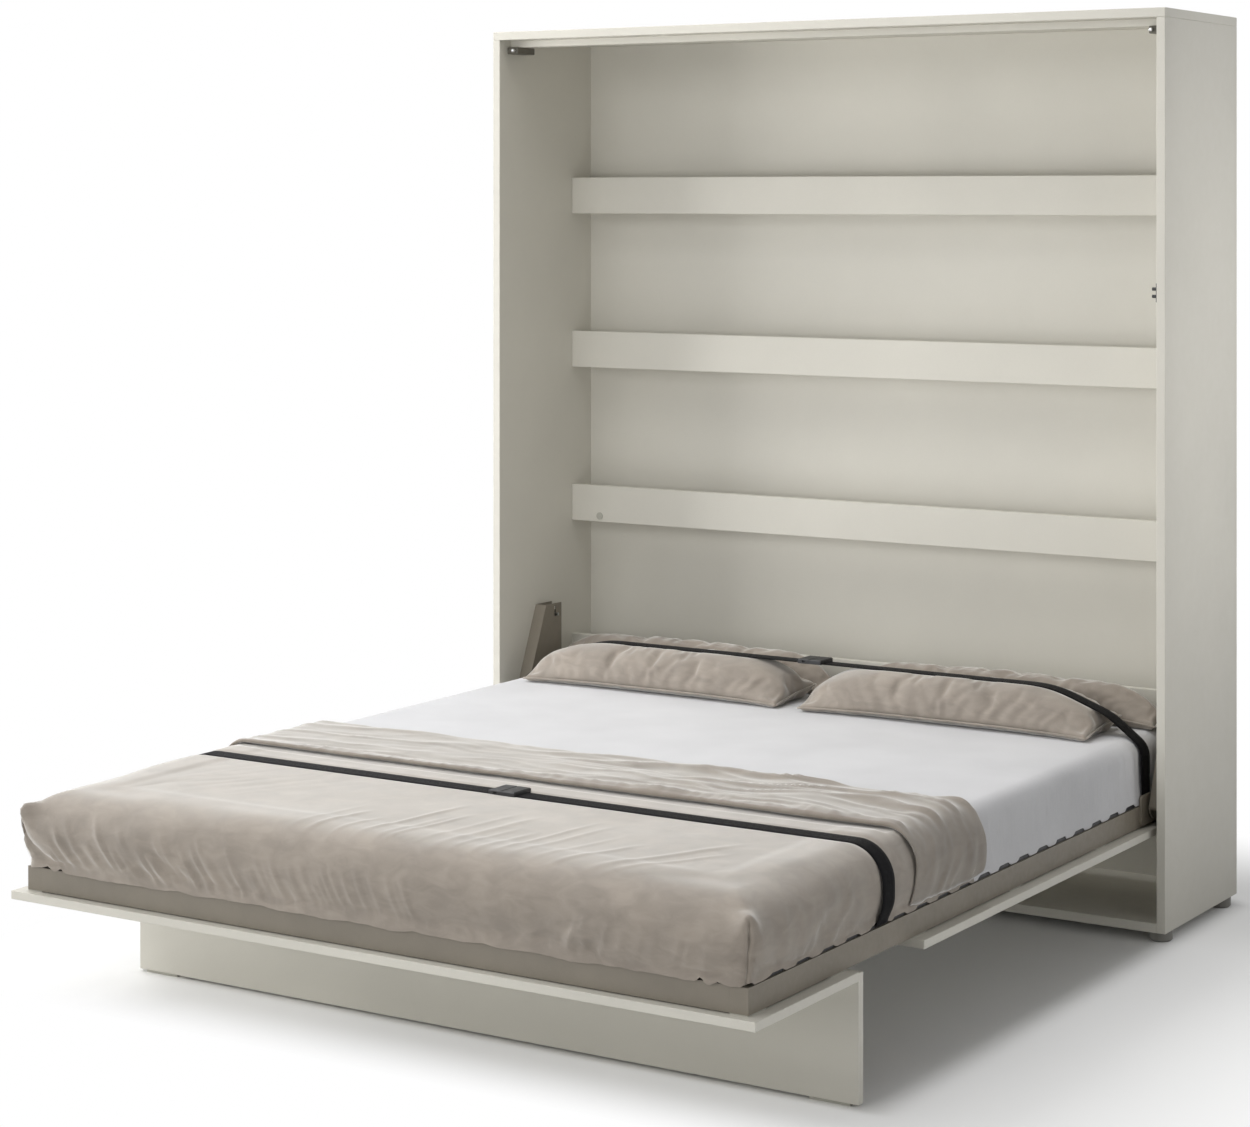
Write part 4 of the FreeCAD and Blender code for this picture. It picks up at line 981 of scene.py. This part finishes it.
def white_floor():
    """Grey-white floor, with more and more pure white away from the bed for the rays that show it."""
    size = 40.0
    corners = [(-size, -size, 0), (size, -size, 0), (size, size, 0), (-size, size, 0)]
    mesh = bpy.data.meshes.new("studio_floor")
    mesh.from_pydata(corners, [], [(0, 1, 2, 3)])
    floor = bpy.data.objects.new("studio_floor", mesh)
    scene.collection.objects.link(floor)
    look = Shader("studio_white", Roughness=0.9, Base_Color=(0.8, 0.8, 0.79, 1))
    x, y, _ = look.add("ShaderNodeSeparateXYZ", {0: look.coords.outputs["Object"]}).node.outputs

    def past(value, edge, scale):
        """Distance beyond an edge, times the scale. A negative scale looks the other way."""
        over = look.add("ShaderNodeMath", {0: value, 1: -edge})
        scaled = look.add("ShaderNodeMath", {0: over, 1: scale}, operation="MULTIPLY")
        return look.add("ShaderNodeMath", {0: scaled, 1: 0.0}, operation="MAXIMUM")

    aside = look.add("ShaderNodeMath", {0: past(x, duvet_hi.x, 0.75), 1: past(x, duvet_lo.x, -1.5)})
    behind = past(y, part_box("back_panel")[1].y, 1.0)
    ahead = look.add("ShaderNodeMath", {0: past(y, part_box("leg_panel")[0].y, -2.4), 1: behind})
    reach = look.add("ShaderNodeCombineXYZ", {0: aside, 1: ahead})
    away = look.add("ShaderNodeVectorMath", {0: reach}, operation="LENGTH").node.outputs["Value"]

    def whiter(start, end, share):
        """Share of white that grows from one distance to another."""
        return look.add("ShaderNodeMapRange", {0: away, "From Min": start, "From Max": end, "To Max": share},
                        interpolation_type="SMOOTHSTEP")

    far = look.add("ShaderNodeMath", {0: whiter(0.0, 0.08, 0.3), 1: whiter(0.12, 0.8, 0.72)})
    white = look.add("ShaderNodeEmission", {"Strength": 1.0})
    seen = look.add("ShaderNodeMath", {0: far, 1: shown_rays(look.tree)}, operation="MULTIPLY")
    mixed = look.add("ShaderNodeMixShader", {0: seen, 1: look.shader.outputs[0], 2: white})
    out = next(node for node in look.tree.nodes if node.type == "OUTPUT_MATERIAL")
    look.tree.links.new(mixed, out.inputs[0])
    mesh.materials.append(look.material)


def white_world(ambient):
    """White for the rays that show it, and a weaker even light for all others."""
    world = bpy.data.worlds.new("studio")
    scene.world = world
    world.use_nodes = True
    tree = world.node_tree
    tree.nodes.clear()
    out = tree.nodes.new("ShaderNodeOutputWorld")
    mix = tree.nodes.new("ShaderNodeMixShader")
    tree.links.new(shown_rays(tree), mix.inputs[0])
    for socket, strength in ((1, ambient), (2, 1.0)):
        light = tree.nodes.new("ShaderNodeBackground")
        light.inputs["Color"].default_value = (1, 1, 1, 1)
        light.inputs["Strength"].default_value = strength
        tree.links.new(light.outputs[0], mix.inputs[socket])
    tree.links.new(mix.outputs[0], out.inputs[0])


def lamp(name, place, target, size, power, spread=180):
    """Rectangular lamp at a place, turned to a target. Its spread is in degrees."""
    data = bpy.data.lights.new(name, "AREA")
    data.shape = "RECTANGLE"
    data.size, data.size_y = size
    data.energy = power
    data.spread = math.radians(spread)
    obj = bpy.data.objects.new(name, data)
    obj.location = place
    obj.rotation_euler = (Vector(target) - Vector(place)).to_track_quat("-Z", "Y").to_euler()
    obj.visible_camera = False
    scene.collection.objects.link(obj)


white_floor()
white_world(ambient=0.25)
lamp("overhead", (-0.3, -0.6, 4.6), (0.0, -0.3, 0.3), (3.0, 3.0), 60)
lamp("left_top", (-3.0, 0.2, 4.2), (0.0, -0.3, 0.4), (2.4, 2.4), 115)
lamp("left_low", (-4.5, -1.5, 1.0), (0.0, 0.0, 0.6), (2.0, 1.5), 118)
lamp("front_high", (-1.5, -5.5, 3.6), (0.0, 0.3, 0.9), (2.6, 2.0), 58)
lamp("front_floor", (0.0, -4.2, 1.0), (0.0, -1.4, 0.0), (2.4, 0.8), 18)
lamp("over_bed", (0.0, -1.4, 1.5), (0.0, 0.8, 1.3), (1.8, 0.6), 8)
lamp("right_side", (3.4, 0.95, 1.7), (0.96, 0.95, 1.45), (0.3, 1.6), 2.9, spread=44)
lamp("right_fill", (3.6, -1.0, 1.1), (0.92, -0.7, 0.35), (1.0, 0.6), 2.6, spread=80)


# Camera of the photo

photo_width, photo_height = 1250, 1127
focal_pixels = 2811.6
centre_pixel = (747.5, 196.4)
camera_place = (3.5184, -5.4197, 1.7385)
camera_turn = 0.5449
camera = bpy.data.objects.new("photo_camera", bpy.data.cameras.new("photo_camera"))
scene.collection.objects.link(camera)
camera.location = camera_place
camera.rotation_euler = (math.pi / 2, 0, camera_turn)
camera.data.sensor_width = 36.0
camera.data.lens = camera.data.sensor_width * focal_pixels / photo_width
camera.data.shift_x = (photo_width / 2 - centre_pixel[0]) / photo_width
camera.data.shift_y = (centre_pixel[1] - photo_height / 2) / photo_width
camera.data.clip_end = 200
scene.camera = camera
scene.view_settings.view_transform = "Standard"
